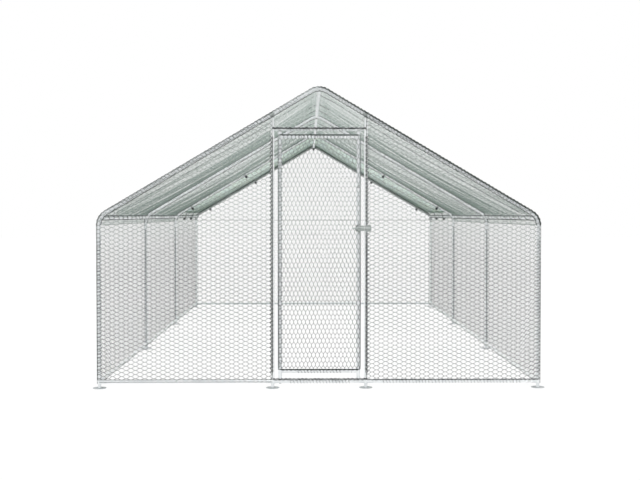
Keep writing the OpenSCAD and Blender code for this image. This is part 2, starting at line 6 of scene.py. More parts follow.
import bpy
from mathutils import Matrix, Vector


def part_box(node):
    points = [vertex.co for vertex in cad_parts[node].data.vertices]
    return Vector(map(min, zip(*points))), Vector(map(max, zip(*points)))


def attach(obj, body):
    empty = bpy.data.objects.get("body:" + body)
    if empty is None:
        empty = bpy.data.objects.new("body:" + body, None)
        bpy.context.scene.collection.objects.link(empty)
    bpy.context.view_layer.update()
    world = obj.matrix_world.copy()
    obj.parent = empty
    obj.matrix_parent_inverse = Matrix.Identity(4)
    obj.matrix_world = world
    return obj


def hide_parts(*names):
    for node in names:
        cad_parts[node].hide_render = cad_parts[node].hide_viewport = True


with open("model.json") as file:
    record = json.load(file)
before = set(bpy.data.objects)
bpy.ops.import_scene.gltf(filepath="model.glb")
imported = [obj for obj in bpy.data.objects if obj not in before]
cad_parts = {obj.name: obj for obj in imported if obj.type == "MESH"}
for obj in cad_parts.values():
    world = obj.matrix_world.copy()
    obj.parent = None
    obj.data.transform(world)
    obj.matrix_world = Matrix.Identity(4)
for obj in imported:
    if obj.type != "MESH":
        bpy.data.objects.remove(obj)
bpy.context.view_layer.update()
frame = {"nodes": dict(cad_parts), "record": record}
random.seed(11)
MM = 0.001


# Sizes of the run, in metres, read from the frame

def span(node, axis):
    low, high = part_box(node)
    return low["xyz".index(axis)], high["xyz".index(axis)]


def middle(node, axis):
    return sum(span(node, axis)) / 2


PITCH = math.radians(30.6)  # slope of the rafters
BEND_R = 100 * MM  # bends at the eaves and the ridge, on the tube's centreline

HOOPS = ("front", "second", "third", "rear")
HOOP_Y = [middle(hoop + "_rafters", "y") for hoop in HOOPS]
BAY = HOOP_Y[1] - HOOP_Y[0]
TUBE_R = (span("rear_base_rail", "y")[1] - span("rear_base_rail", "y")[0]) / 2
RAIL_Z = middle("rear_base_rail", "z")
LEG_X = span("front_legs", "x")[1] - TUBE_R
LEG_FOOT, LEG_TOP = span("front_legs", "z")
RIDGE_Z = span("ridge_purlins", "z")[1] - TUBE_R
POST_X = span("right_door_post", "x")[1] - TUBE_R
STILE_X = span("latch_stile", "x")[1] - TUBE_R
LINTEL_Z = middle("lintel", "z")
LEAF_RAILS_Z = [middle(rail, "z") for rail in ("leaf_bottom_rail", "leaf_top_rail")]

NET_OFF = middle("right_wall_net", "x") - LEG_X  # netting, out from the tubes' centrelines
NET_FOOT, WALL_TOP = span("right_wall_net", "z")
FRONT_NET_Y = middle("front_left_net", "y")
REAR_NET_Y = middle("rear_wall_net", "y")
COVER_Y = span("cover", "y")
COVER_OFF = span("cover", "z")[1] - RIDGE_Z  # top of the cover, out from the tubes' centrelines

# Straight part of a rafter between its two bends, and the whole way between the eave bends
EAVE_TURN = math.pi / 2 - PITCH
SLOPE_L = LEG_X / math.cos(PITCH) - BEND_R * (math.tan(EAVE_TURN / 2) + math.tan(PITCH))
ROOF_L = 2 * (SLOPE_L + PITCH * BEND_R)
EAVE_ARC = EAVE_TURN * BEND_R
EAVES = (-EAVE_ARC / 2, ROOF_L + EAVE_ARC / 2)  # the two eave purlins, along the roof


def roof_frame(s):
    """Centreline of a hoop, s along the roof from the left eave bend, and the way out from it."""
    side = math.copysign(1, s - ROOF_L / 2)
    way = abs(s - ROOF_L / 2)
    over = min(way / BEND_R, PITCH)
    straight = min(max(way - PITCH * BEND_R, 0), SLOPE_L)
    down = max(way - PITCH * BEND_R - SLOPE_L, 0) / BEND_R
    x = straight * math.cos(PITCH) + BEND_R * (math.sin(over) + math.sin(PITCH + down) - math.sin(PITCH))
    z = RIDGE_Z - straight * math.sin(PITCH)
    z += BEND_R * (math.cos(over) - 1 + math.cos(PITCH + down) - math.cos(PITCH))
    turn = over + down
    return Vector((side * x, 0, z)), Vector((side * math.sin(turn), 0, math.cos(turn)))


def steps(start, end, count):
    return [start + (end - start) * i / count for i in range(count + 1)]


BEND_STEPS = 8
LEFT_EAVE = steps(-EAVE_ARC, 0, BEND_STEPS)
RIDGE_BEND = steps(SLOPE_L, ROOF_L - SLOPE_L, BEND_STEPS)
RIGHT_EAVE = steps(ROOF_L, ROOF_L + EAVE_ARC, BEND_STEPS)
WHOLE_ROOF = LEFT_EAVE + RIDGE_BEND + RIGHT_EAVE


def roof_points(ways, off):
    return [centre + off * out for centre, out in map(roof_frame, ways)]


# Nodes: one function adds a node to any tree

def add(tree, kind, inputs=None, **settings):
    """Add a node, set its settings, and link or set its inputs. A list links several sources to one input."""
    made = tree.nodes.new(kind)
    for name, value in settings.items():
        setattr(made, name, value)
    for name, value in (inputs or {}).items():
        for source in value if isinstance(value, list) else [value]:
            if isinstance(source, bpy.types.NodeSocket):
                tree.links.new(source, made.inputs[name])
            else:
                made.inputs[name].default_value = source
    return made.outputs


def new_tree(name, sockets):
    tree = bpy.data.node_groups.new(name, "GeometryNodeTree")
    for label, kind in sockets.items():
        tree.interface.new_socket(label, in_out="INPUT", socket_type="NodeSocket" + kind)
    tree.interface.new_socket("Geometry", in_out="OUTPUT", socket_type="NodeSocketGeometry")
    return tree


def round_wire(tree, lines, wire, sides, thickness=1.0):
    """A wire along lines, of only a few sides because there is so much of it."""
    radius = add(tree, "ShaderNodeMath", {0: wire, 1: 0.5}, operation="MULTIPLY")[0]
    profile = add(tree, "GeometryNodeCurvePrimitiveCircle", {"Resolution": sides, "Radius": radius})[0]
    return add(tree, "GeometryNodeCurveToMesh", {"Curve": lines, "Profile Curve": profile,
                                                 "Scale": thickness, "Fill Caps": True})[0]


def finish_tree(tree, mesh, material):
    """Every tree ends in plain geometry with its material."""
    smooth = add(tree, "GeometryNodeSetShadeSmooth", {"Geometry": mesh})[0]
    plain = add(tree, "GeometryNodeRealizeInstances", {"Geometry": smooth})[0]
    dressed = add(tree, "GeometryNodeSetMaterial", {"Geometry": plain, "Material": material})[0]
    add(tree, "NodeGroupOutput", {"Geometry": dressed})


# Objects and their meshes

def put(name, data):
    thing = bpy.data.objects.new(name, data)
    bpy.context.collection.objects.link(thing)
    return thing


def plain_mesh(host):
    """What an object's curves and modifiers make of it, as a mesh of its own."""
    graph = bpy.context.evaluated_depsgraph_get()
    return bpy.data.meshes.new_from_object(host.evaluated_get(graph), depsgraph=graph)


def grow(host, tree, **values):
    """Run a tree on an object and keep what it makes as the plain mesh of a new piece."""
    modifier = host.modifiers.new(tree.name, "NODES")
    modifier.node_group = tree
    for label, value in values.items():
        modifier[tree.interface.items_tree[label.replace("_", " ")].identifier] = value
    mesh = plain_mesh(host)
    name = host.name
    host.modifiers.remove(modifier)
    bpy.data.objects.remove(host)
    return put(name, mesh)


def mesh_piece(name, points, faces, material=None):
    mesh = bpy.data.meshes.new(name)
    mesh.from_pydata(points, [], faces)
    if material:
        mesh.materials.append(material)
    return put(name, mesh)


def curve_lines(name, runs):
    """A curve object with one straight-sided line for each run of points."""
    curve = bpy.data.curves.new(name, "CURVE")
    curve.dimensions = "3D"
    for run in runs:
        line = curve.splines.new("POLY")
        line.points.add(len(run) - 1)
        for point, place in zip(line.points, run):
            point.co = (*place, 1)
    return put(name, curve)


# Finishes

def linear(code):
    """Linear colour from an sRGB hex value."""
    parts = [int(code[i:i + 2], 16) / 255 for i in (1, 3, 5)]
    return (*[c / 12.92 if c <= 0.04045 else ((c + 0.055) / 1.055) ** 2.4 for c in parts], 1)


def new_finish(name):
    material = bpy.data.materials.new(name)
    material.use_nodes = True
    tree = material.node_tree
    return material, tree, tree.nodes["Principled BSDF"]


def link_finish(tree, shader, colour, matt, height, strength, relief):
    """Give the shader a finish's colour, its roughness and the relief of its surface."""
    bump = add(tree, "ShaderNodeBump", {"Height": height, "Strength": strength, "Distance": relief})[0]
    for name, source in (("Base Color", colour), ("Roughness", matt), ("Normal", bump)):
        tree.links.new(source, shader.inputs[name])


LOW_COLOUR_Z = (0.8, 1.12)  # heights over which the colour darkens towards the bottom


def zinc_coat(name, light, dark, crystal, rough, relief, low_colour=None, metal=1.0, low_colour_z=LOW_COLOUR_Z):
    """Zinc-coated steel: crystals of zinc catch the light apart, under a cloudy grey bloom. It darkens
    towards the low colour, fully below the first height of low_colour_z and not at all above the second."""
    material, tree, shader = new_finish(name)
    place = add(tree, "ShaderNodeTexCoord")["Object"]
    crystals = add(tree, "ShaderNodeTexVoronoi", {"Vector": place, "Scale": 1 / crystal})["Color"]
    tone = add(tree, "ShaderNodeSeparateColor", {"Color": crystals})[0]
    bloom = add(tree, "ShaderNodeTexNoise", {"Vector": place, "Scale": 0.12 / crystal, "Detail": 4.0})[0]
    mixed = add(tree, "ShaderNodeMath", {0: tone, 1: 0.35, 2: bloom}, operation="MULTIPLY_ADD")[0]
    share = add(tree, "ShaderNodeMapRange", {"Value": mixed, "From Min": 0.35, "From Max": 0.95})[0]
    colour = add(tree, "ShaderNodeMix", {0: share, 6: linear(dark), 7: linear(light)}, data_type="RGBA")[2]
    if low_colour:
        height = add(tree, "ShaderNodeSeparateXYZ", {0: place})["Z"]
        high_share = add(tree, "ShaderNodeMapRange",
                    {"Value": height, "From Min": low_colour_z[0], "From Max": low_colour_z[1]})[0]
        colour = add(tree, "ShaderNodeMix", {0: high_share, 6: linear(low_colour), 7: colour}, data_type="RGBA")[2]
    matt = add(tree, "ShaderNodeMapRange", {"Value": mixed, "From Min": 0.3, "From Max": 1.0,
                                            "To Min": rough + 0.1, "To Max": rough - 0.08})[0]
    grain = add(tree, "ShaderNodeTexNoise", {"Vector": place, "Scale": 6 / crystal, "Detail": 3.0})[0]
    link_finish(tree, shader, colour, matt, grain, 0.25, relief)
    shader.inputs["Metallic"].default_value = metal
    return material


def moulded(name, light, dark, grit, rough):
    """Moulded black plastic or rubber: nearly even, with a fine matt grain and a dusty bloom."""
    material, tree, shader = new_finish(name)
    place = add(tree, "ShaderNodeTexCoord")["Object"]
    bloom = add(tree, "ShaderNodeTexNoise", {"Vector": place, "Scale": 0.05 / grit, "Detail": 5.0})[0]
    colour = add(tree, "ShaderNodeMix", {0: bloom, 6: linear(dark), 7: linear(light)}, data_type="RGBA")[2]
    matt = add(tree, "ShaderNodeMapRange",
               {"Value": bloom, "To Min": rough - 0.08, "To Max": rough + 0.12})[0]
    grain = add(tree, "ShaderNodeTexNoise", {"Vector": place, "Scale": 1 / grit, "Detail": 2.0})[0]
    link_finish(tree, shader, colour, matt, grain, 0.3, 0.1 * MM)
    return material


def woven_polyethylene(name, light, dark):
    """Woven polyethylene tarpaulin: flat tapes under a thin glossy film, which lets some light through."""
    material, tree, shader = new_finish(name)
    tape = 9 * MM  # the real tapes are 3 mm wide, too fine to show from a step away
    bands = 0.314 / tape  # at a scale of 1 a wave texture has a band every 0.314
    flat = add(tree, "ShaderNodeTexCoord")["UV"]
    warp, weft = (add(tree, "ShaderNodeTexWave",
                      {"Vector": flat, "Scale": bands, "Distortion": 0.4, "Detail Scale": 0.3},
                      wave_type="BANDS", bands_direction=way)["Fac"] for way in "XY")
    weave = add(tree, "ShaderNodeMath", {0: warp, 1: weft}, operation="MULTIPLY")[0]
    fade = add(tree, "ShaderNodeTexNoise", {"Vector": flat, "Scale": 3.0, "Detail": 4.0})[0]
    tone = add(tree, "ShaderNodeMath", {0: weave, 1: 0.45, 2: fade}, operation="MULTIPLY_ADD")[0]
    share = add(tree, "ShaderNodeMapRange", {"Value": tone, "From Min": 0.35, "From Max": 1.0})[0]
    colour = add(tree, "ShaderNodeMix", {0: share, 6: linear(dark), 7: linear(light)}, data_type="RGBA")[2]
    matt = add(tree, "ShaderNodeMapRange", {"Value": weave, "To Min": 0.5, "To Max": 0.36})[0]
    link_finish(tree, shader, colour, matt, weave, 0.4, 0.4 * MM)
    shader.inputs["Subsurface Weight"].default_value = 1.0
    shader.inputs["Subsurface Radius"].default_value = (1.0, 1.0, 0.8)
    shader.inputs["Subsurface Scale"].default_value = 6 * MM
    return material


TUBE_ZINC = zinc_coat("hot_dip_galvanised_tube", "#f4f6f7", "#dfe3e5", 14 * MM, 0.34, 0.05 * MM, metal=0.5)
# Paler, less metallic copy of the tube finish for the rear legs, the base rails and the door posts: painted
# light, as these tubes show brighter where the white floor and room light them
LIT_TUBE_ZINC = zinc_coat("new_galvanised_tube", "#fcfdfd", "#eef1f2", 14 * MM, 0.4, 0.05 * MM, metal=0.15)
# Three tones of one netting wire, darkest on the walls, front, rear and door, lighter on the roof and
# lightest on the front gable: the differences are painted light and shade for how each area shows lit
WIRE_ZINC = zinc_coat("galvanised_netting_wire", "#939c98", "#7b8580", 6 * MM, 0.42, 0.02 * MM, "#28302d")
ROOF_ZINC = zinc_coat("bright_netting_wire", "#bfcbc6", "#9fada6", 6 * MM, 0.42, 0.02 * MM, "#83938b",
                      low_colour_z=(1.35, RIDGE_Z))  # lightest at the ridge, darker towards the eaves
GABLE_ZINC = zinc_coat("clean_netting_wire", "#e2e8e5", "#cad1ce", 6 * MM, 0.42, 0.02 * MM)
# Border and lashing wire, painted near black as painted shade: the dense ends of the netting and the edges of
# the tubes lie in shade
SHADE_DARK_BORDER_ZINC = zinc_coat("weathered_border_wire", "#363c3a", "#232827", 6 * MM, 0.5, 0.02 * MM, metal=0.5)
PLATE_ZINC = zinc_coat("galvanised_pressed_plate", "#d3d6d7", "#b0b6b8", 16 * MM, 0.4, 0.05 * MM)
LATCH_ZINC = zinc_coat("dull_zinc_latch", "#c0c6c3", "#a6acaa", 8 * MM, 0.46, 0.04 * MM, metal=0.7)
SCREW_ZINC = zinc_coat("bright_zinc_screw", "#dadddd", "#bcc1c2", 5 * MM, 0.28, 0.02 * MM)
BUSH_PLASTIC = moulded("moulded_polyamide", "#303133", "#1d1e20", 0.8 * MM, 0.5)
BALL_RUBBER = moulded("moulded_rubber_ball", "#26272a", "#131416", 0.9 * MM, 0.45)
COVER_CLOTH = woven_polyethylene("woven_polyethylene_cover", "#5a9470", "#437a58")
# Underside of the cover: the green cloth painted a near-white green, as painted light for the daylight that
# comes through the cloth
COVER_UNDERSIDE_LIT = woven_polyethylene("woven_polyethylene_lining", "#e6fbf0", "#d0f1e0")
HEM_CLOTH = woven_polyethylene("woven_polyethylene_hem", "#4c8560", "#3a6b4c")

FINISHES = {"galvanised_tube": TUBE_ZINC, "wire_netting": WIRE_ZINC, "foot_zinc": PLATE_ZINC,
            "latch_zinc": LATCH_ZINC, "screw_zinc": SCREW_ZINC, "bush_plastic": BUSH_PLASTIC,
            "cover_fabric": COVER_CLOTH, "tie_rubber": BALL_RUBBER}
# The tubes that get the copy with painted light
LIT_TUBES = ("rear_legs", "left_base_rails", "right_base_rails", "left_door_post", "right_door_post")
for row in frame["record"]["subparts"]:
    slots = frame["nodes"][row["node"]].data.materials
    slots.clear()
    slots.append(LIT_TUBE_ZINC if row["node"] in LIT_TUBES else FINISHES[row["material_slot"]])


# Hexagon netting

EDGE_HOLD = 80 * MM  # from its border to where the netting wanders freely
SHORTEST_WIRE = 2 * MM
SELVEDGE_STEP = 25 * MM


def netting_tree():
    """Netting laid out flat inside an outline, then bent along a path. Its twists run along the path."""
    tree = new_tree("hexagon_netting", {
        "Outline": "Object", "Path": "Object", "Across": "Vector", "Mesh Width": "Float", "Row": "Float",
        "Twist": "Float", "Twist Share": "Float", "Wire": "Float", "Selvedge": "Float", "Slack": "Float",
        "Sag": "Float", "Span Along": "Float", "Span Across": "Float", "Ripple": "Float", "Drift": "Vector",
        "Material": "Material"})
    given = add(tree, "NodeGroupInput")
    outline = add(tree, "GeometryNodeObjectInfo", {"Object": given["Outline"]})["Geometry"]
    path = add(tree, "GeometryNodeObjectInfo", {"Object": given["Path"]})["Geometry"]
    mesh_w, row, twist = given["Mesh Width"], given["Row"], given["Twist"]

    # Two grids of points over the outline, the second a row on and half a mesh across
    box = add(tree, "GeometryNodeBoundBox", {"Geometry": outline})
    size = add(tree, "ShaderNodeVectorMath", {0: box["Max"], 1: box["Min"]}, operation="SUBTRACT")[0]
    two_rows = add(tree, "ShaderNodeMath", {0: row, 1: 2.0}, operation="MULTIPLY")[0]
    half_mesh, other_half = (add(tree, "ShaderNodeMath", {0: mesh_w, 1: share}, operation="MULTIPLY")[0]
                             for share in (0.5, -0.5))
    period = add(tree, "ShaderNodeCombineXYZ", {"X": two_rows, "Y": mesh_w, "Z": 1.0})[0]
    fit = add(tree, "ShaderNodeVectorMath", {0: size, 1: period}, operation="DIVIDE")[0]
    whole = add(tree, "ShaderNodeVectorMath", {0: fit}, operation="CEIL")[0]
    gaps = add(tree, "ShaderNodeVectorMath", {0: whole, 1: (2, 2, 0)}, operation="ADD")[0]
    count = add(tree, "ShaderNodeVectorMath", {0: gaps, 1: (1, 1, 0)}, operation="ADD")[0]
    extent = add(tree, "ShaderNodeVectorMath", {0: gaps, 1: period}, operation="MULTIPLY")[0]
    sides, counts = (add(tree, "ShaderNodeSeparateXYZ", {0: v}) for v in (extent, count))
    grid = add(tree, "GeometryNodeMeshGrid", {"Size X": sides["X"], "Size Y": sides["Y"],
                                              "Vertices X": counts["X"], "Vertices Y": counts["Y"]})[0]
    both = add(tree, "ShaderNodeVectorMath", {0: box["Max"], 1: box["Min"]}, operation="ADD")[0]
    centre = add(tree, "ShaderNodeVectorMath", {0: both, "Scale": 0.5}, operation="SCALE")[0]
    first = add(tree, "GeometryNodeSetPosition", {"Geometry": grid, "Offset": centre})[0]
    shift = add(tree, "ShaderNodeCombineXYZ", {"X": row, "Y": half_mesh})[0]
    second = add(tree, "GeometryNodeSetPosition", {"Geometry": first, "Offset": shift})[0]
    points = add(tree, "GeometryNodeJoinGeometry", {0: [first, second]})[0]

    # At each point a twist of two wires, which then part to the meshes on either side
    part = add(tree, "ShaderNodeCombineXYZ", {"X": twist})[0]
    other_way = add(tree, "ShaderNodeCombineXYZ", {"X": row, "Y": other_half})[0]
    wires = []
    for thickness, start, end in ((given["Twist Share"], (0, 0, 0), part), (1.0, part, shift),
                                  (1.0, part, other_way)):
        line = add(tree, "GeometryNodeMeshLine", {"Count": 2, "Start Location": start, "Offset": end},
                   mode="END_POINTS")[0]
        wires.append(add(tree, "GeometryNodeStoreNamedAttribute",
                         {"Geometry": line, "Name": "thickness", "Value": thickness})[0])
    unit = add(tree, "GeometryNodeJoinGeometry", {0: wires})[0]
    spread = add(tree, "GeometryNodeInstanceOnPoints", {"Points": points, "Instance": unit})[0]
    flat = add(tree, "GeometryNodeRealizeInstances", {"Geometry": spread})[0]

    # Slack: the meshes wander a little, less towards the border
    place = add(tree, "GeometryNodeInputPosition")[0]
    border = add(tree, "GeometryNodeProximity", {"Geometry": outline}, target_element="EDGES")
    free = add(tree, "ShaderNodeMath", {0: border["Distance"], 1: EDGE_HOLD}, operation="DIVIDE",
               use_clamp=True)[0]
    drifted = add(tree, "ShaderNodeVectorMath", {0: place, 1: given["Drift"]}, operation="ADD")[0]
    noise = add(tree, "ShaderNodeTexNoise", {"Vector": drifted, "Scale": 4.0, "Detail": 5.0})["Color"]
    either_way = add(tree, "ShaderNodeVectorMath", {0: noise, 1: (0.5, 0.5, 0.5)}, operation="SUBTRACT")[0]
    amount = add(tree, "ShaderNodeMath", {0: free, 1: given["Slack"]}, operation="MULTIPLY")[0]
    wander = add(tree, "ShaderNodeVectorMath", {0: either_way, "Scale": amount}, operation="SCALE")[0]
    loose = add(tree, "GeometryNodeSetPosition", {"Geometry": flat, "Offset": wander})[0]

    # Trim to the outline: ends just outside it are drawn to the border, the rest goes
    above = add(tree, "ShaderNodeVectorMath", {0: place, 1: (0, 0, 1)}, operation="ADD")[0]
    inside = add(tree, "GeometryNodeRaycast", {"Target Geometry": outline, "Source Position": above,
                                               "Ray Direction": (0, 0, -1), "Ray Length": 2.0})["Is Hit"]
    outside = add(tree, "FunctionNodeBooleanMath", {0: inside}, operation="NOT")[0]
    far = add(tree, "ShaderNodeMath", {0: border["Distance"], 1: mesh_w}, operation="GREATER_THAN")[0]
    waste = add(tree, "FunctionNodeBooleanMath", {0: outside, 1: far}, operation="AND")[0]
    cut = add(tree, "GeometryNodeDeleteGeometry", {"Geometry": loose, "Selection": waste}, domain="POINT")[0]
    drawn = add(tree, "GeometryNodeSetPosition",
                {"Geometry": cut, "Selection": outside, "Position": border["Position"]})[0]
    ends = add(tree, "GeometryNodeInputMeshEdgeVertices")
    length = add(tree, "ShaderNodeVectorMath", {0: ends["Position 1"], 1: ends["Position 2"]},
                 operation="DISTANCE")["Value"]
    stub = add(tree, "ShaderNodeMath", {0: length, 1: SHORTEST_WIRE}, operation="LESS_THAN")[0]
    trimmed = add(tree, "GeometryNodeDeleteGeometry", {"Geometry": drawn, "Selection": stub},
                  domain="EDGE")[0]

    # Selvedge: a wire along the outline, with a thickness of its own
    edge = add(tree, "GeometryNodeMeshToCurve", {"Mesh": outline})[0]
    fine = add(tree, "GeometryNodeResampleCurve", {"Curve": edge, "Length": SELVEDGE_STEP}, mode="LENGTH")[0]
    rim = add(tree, "GeometryNodeCurveToMesh", {"Curve": fine})[0]
    selvedge = add(tree, "GeometryNodeStoreNamedAttribute",
                   {"Geometry": rim, "Name": "thickness", "Value": given["Selvedge"]})[0]
    laid = add(tree, "GeometryNodeJoinGeometry", {0: [trimmed, selvedge]})[0]

    # Bend the flat netting along its path, with its sag between the tubes
    flat_place = add(tree, "ShaderNodeSeparateXYZ", {0: place})
    on_path = add(tree, "GeometryNodeSampleCurve", {"Curves": path, "Length": flat_place["X"]}, mode="LENGTH")
    out = add(tree, "ShaderNodeVectorMath", {0: on_path["Tangent"], 1: given["Across"]},
              operation="CROSS_PRODUCT")[0]
    straight_out = add(tree, "ShaderNodeVectorMath", {0: out}, operation="NORMALIZE")[0]
    waves = []
    for axis, reach in (("X", "Span Along"), ("Y", "Span Across")):
        turns = add(tree, "ShaderNodeMath", {0: flat_place[axis], 1: given[reach]}, operation="DIVIDE")[0]
        angle = add(tree, "ShaderNodeMath", {0: turns, 1: math.pi}, operation="MULTIPLY")[0]
        wave = add(tree, "ShaderNodeMath", {0: angle}, operation="SINE")[0]
        waves.append(add(tree, "ShaderNodeMath", {0: wave}, operation="ABSOLUTE")[0])
    swell = add(tree, "ShaderNodeMath", {0: waves[0], 1: waves[1]}, operation="MULTIPLY")[0]
    hung = add(tree, "ShaderNodeMath", {0: swell, 1: given["Sag"], 2: flat_place["Z"]},
               operation="MULTIPLY_ADD")[0]

    # Ripples where it is rolled out: long along the path, short across it, none on the tubes
    drawn_out = add(tree, "ShaderNodeVectorMath", {0: place, 1: (0.3, 4.0, 0)}, operation="MULTIPLY")[0]
    ripple = add(tree, "ShaderNodeTexNoise", {"Vector": drawn_out, "Scale": 1.0, "Detail": 1.0})[0]
    dip = add(tree, "ShaderNodeMath", {0: ripple, 1: given["Ripple"]}, operation="MULTIPLY")[0]
    near = add(tree, "ShaderNodeMath", {0: waves[0], 1: 5.0}, operation="MULTIPLY", use_clamp=True)[0]
    loose_share = add(tree, "ShaderNodeMath", {0: near, 1: waves[1]}, operation="MULTIPLY")[0]
    dipped = add(tree, "ShaderNodeMath", {0: dip, 1: loose_share}, operation="MULTIPLY")[0]
    lift = add(tree, "ShaderNodeMath", {0: hung, 1: dipped}, operation="SUBTRACT")[0]
    raised = add(tree, "ShaderNodeVectorMath", {0: straight_out, "Scale": lift}, operation="SCALE")[0]
    sideways = add(tree, "ShaderNodeVectorMath", {0: given["Across"], "Scale": flat_place["Y"]},
                   operation="SCALE")[0]
    over = add(tree, "ShaderNodeVectorMath", {0: on_path["Position"], 1: sideways}, operation="ADD")[0]
    bent_place = add(tree, "ShaderNodeVectorMath", {0: over, 1: raised}, operation="ADD")[0]
    bent = add(tree, "GeometryNodeSetPosition", {"Geometry": laid, "Position": bent_place})[0]

    lines = add(tree, "GeometryNodeMeshToCurve", {"Mesh": bent})[0]
    thickness = add(tree, "GeometryNodeInputNamedAttribute", {"Name": "thickness"})[0]
    finish_tree(tree, round_wire(tree, lines, given["Wire"], 3, thickness), given["Material"])
    return tree


NETTING = netting_tree()

# The real wire is 0.9 mm thick, as under the cover. The rest is thicker, so that it shows from this far.
FRONT_WIRE = 3.0 * MM
WALL_WIRE = 1.75 * MM
ROOF_WIRE = 1.7 * MM
REAR_WIRE = 1.65 * MM
COVERED_WIRE = 0.9 * MM

# Mesh width, row and twist
SIDE_MESH = (28 * MM, 31 * MM, 14 * MM)
ROOF_MESH = (28 * MM, 31 * MM, 16 * MM)
DOOR_MESH = (26.5 * MM, 32 * MM, 15 * MM)  # also at the rear end

X_WAY, Y_WAY, Z_WAY = Vector((1, 0, 0)), Vector((0, 1, 0)), Vector((0, 0, 1))
net_numbers = itertools.count(1)


def net(name, nodes, path, across, outline, mesh, spans, sag=4 * MM, body="run_frame", selvedge=0.9,
        wire=FRONT_WIRE, finish=WIRE_ZINC, ripple=0.0, twist_share=1.05, slack=8 * MM):
    """One piece of netting, from its outline in the flat to its place on the run. It sags between tubes that
    lie the two spans apart, along its path and across it, and wanders in a way of its own."""
    number = next(net_numbers)
    width, row, twist = mesh
    flat = mesh_piece(name + "_flat", [(*point, 0) for point in outline], [range(len(outline))])
    route = curve_lines(name + "_route", [path])
    piece = grow(put(name, bpy.data.meshes.new(name)), NETTING, Outline=flat, Path=route, Across=across,
                 Mesh_Width=width, Row=row, Twist=twist, Twist_Share=twist_share, Wire=wire,
                 Selvedge=selvedge, Slack=slack, Sag=sag, Span_Along=spans[0], Span_Across=spans[1],
                 Ripple=ripple, Drift=(3.7 * number, 1.3 * number, 0.0), Material=finish)
    bpy.data.objects.remove(flat)
    bpy.data.objects.remove(route)
    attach(piece, body)
    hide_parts(*nodes)
    return piece


def rectangle(left, right, foot, top):
    return [(left, foot), (right, foot), (right, top), (left, top)]


def wall_nets():
    """Each wall in three lengths, a seam on each inner leg."""
    ends = [span("right_wall_net", "y")[0], *HOOP_Y[1:3], span("right_wall_net", "y")[1]]
    for side, wall in ((-1, "left"), (1, "right")):
        x = side * (LEG_X + NET_OFF)
        for i, (front, rear) in enumerate(zip(ends, ends[1:])):
            path = [(x, front, 0), (x, rear, 0)][::side]
            net(f"{wall}_wall_netting_{i + 1}", [wall + "_wall_net"], path, Z_WAY,
                rectangle(0, rear - front, NET_FOOT, WALL_TOP), SIDE_MESH, (BAY, WALL_TOP), wire=WALL_WIRE)


ROOF_NODES = ("left_roof_net", "right_roof_net", "eave_net_strips", "ridge_net_strip")
ROOF_STRIPS = 6
COVERED_STRIPS = 2  # at the rear
ROOF_SAG = 35 * MM
ROOF_RIPPLE = 28 * MM
roof_way = roof_points(WHOLE_ROOF, NET_OFF)
ROOF_NET_L = sum((b - a).length for a, b in zip(roof_way, roof_way[1:]))


def slope_swell(s):
    """Share of the sag at s along the roof: most half-way up a slope, none at the eaves and the ridge."""
    return abs(math.sin(2 * math.pi * (s + EAVE_ARC) / (ROOF_L + 2 * EAVE_ARC)))


def roof_nets():
    """Strips of netting, each from one wall over the ridge to the other, with no ripples under the cover."""
    front, rear = span("left_roof_net", "y")
    path = [(p.x, HOOP_Y[0], p.z) for p in roof_way]
    seams = [y - HOOP_Y[0] for y in steps(front, rear, ROOF_STRIPS)]
    strips = []
    for i, (near, far) in enumerate(zip(seams, seams[1:])):
        covered = i >= ROOF_STRIPS - COVERED_STRIPS
        strips.append(net(f"roof_netting_{i + 1}", ROOF_NODES, path, Y_WAY,
                          rectangle(0, ROOF_NET_L, near, far), ROOF_MESH, (ROOF_NET_L / 2, BAY), -ROOF_SAG,
                          selvedge=2.4, wire=COVERED_WIRE if covered else ROOF_WIRE, finish=ROOF_ZINC,
                          ripple=0.0 if covered else ROOF_RIPPLE, twist_share=1.6, slack=4 * MM))
    return strips


HOOP_EDGE = LEG_X + TUBE_R
POST_EDGE = POST_X + 1 * MM  # the front netting is tied to the outer half of a post
LATCH_ROOM = 2 * MM  # from the latch to the netting that is cut out round it


def hoop_edge(ways):
    return [(p.x, p.z) for p in roof_points(ways, TUBE_R)]


def slope_height(x):
    """Top edge of a hoop over x, on a straight slope."""
    return RIDGE_Z + (BEND_R + TUBE_R) / math.cos(PITCH) - BEND_R - abs(x) * math.tan(PITCH)


def level(left, right, z, forward=0.0):
    """A straight run on the front netting."""
    return [(left, FRONT_NET_Y - forward, z), (right, FRONT_NET_Y - forward, z)]


def latch_notch(node, x, edge_x):
    """Cut-out round a part of the latch, from a netting's edge in to x and back, from the foot up."""
    foot, top = span(node, "z")
    foot, top = foot - LATCH_ROOM, top + LATCH_ROOM
    return [(edge_x, foot), (x, foot), (x, top), (edge_x, top)]


def front_nets():
    """A panel on each side of the door and one over it."""
    foot, top = RAIL_Z + TUBE_R, slope_height(POST_EDGE)
    notch = latch_notch("latch_keeper", span("latch_keeper", "x")[1] + LATCH_ROOM, POST_EDGE)
    left = [(-HOOP_EDGE, foot), (-POST_EDGE, foot), (-POST_EDGE, top), *hoop_edge(LEFT_EAVE[::-1])]
    right = [(HOOP_EDGE, foot), *hoop_edge(RIGHT_EAVE[::-1]), (POST_EDGE, top), *notch[::-1],
             (POST_EDGE, foot)]
    width = HOOP_EDGE - POST_EDGE
    for side, start, edge in (("left", -HOOP_EDGE, left), ("right", POST_EDGE, right)):
        net(f"front_{side}_netting", [f"front_{side}_net"], level(start, start + width, 0), Z_WAY,
            [(x - start, z) for x, z in edge], SIDE_MESH, (width, 2 * WALL_TOP))
    half, foot = span("front_gable_net", "x")[1], span("front_gable_net", "z")[0]
    gable = [(-half, foot), (half, foot), (half, slope_height(half)), *hoop_edge(RIDGE_BEND[::-1]),
             (-half, slope_height(half))]
    net("front_gable_netting", ["front_gable_net"], level(-half, half, 0), Z_WAY,
        [(x + half, z) for x, z in gable], SIDE_MESH, (2 * half, WALL_TOP), 1 * MM, finish=GABLE_ZINC)


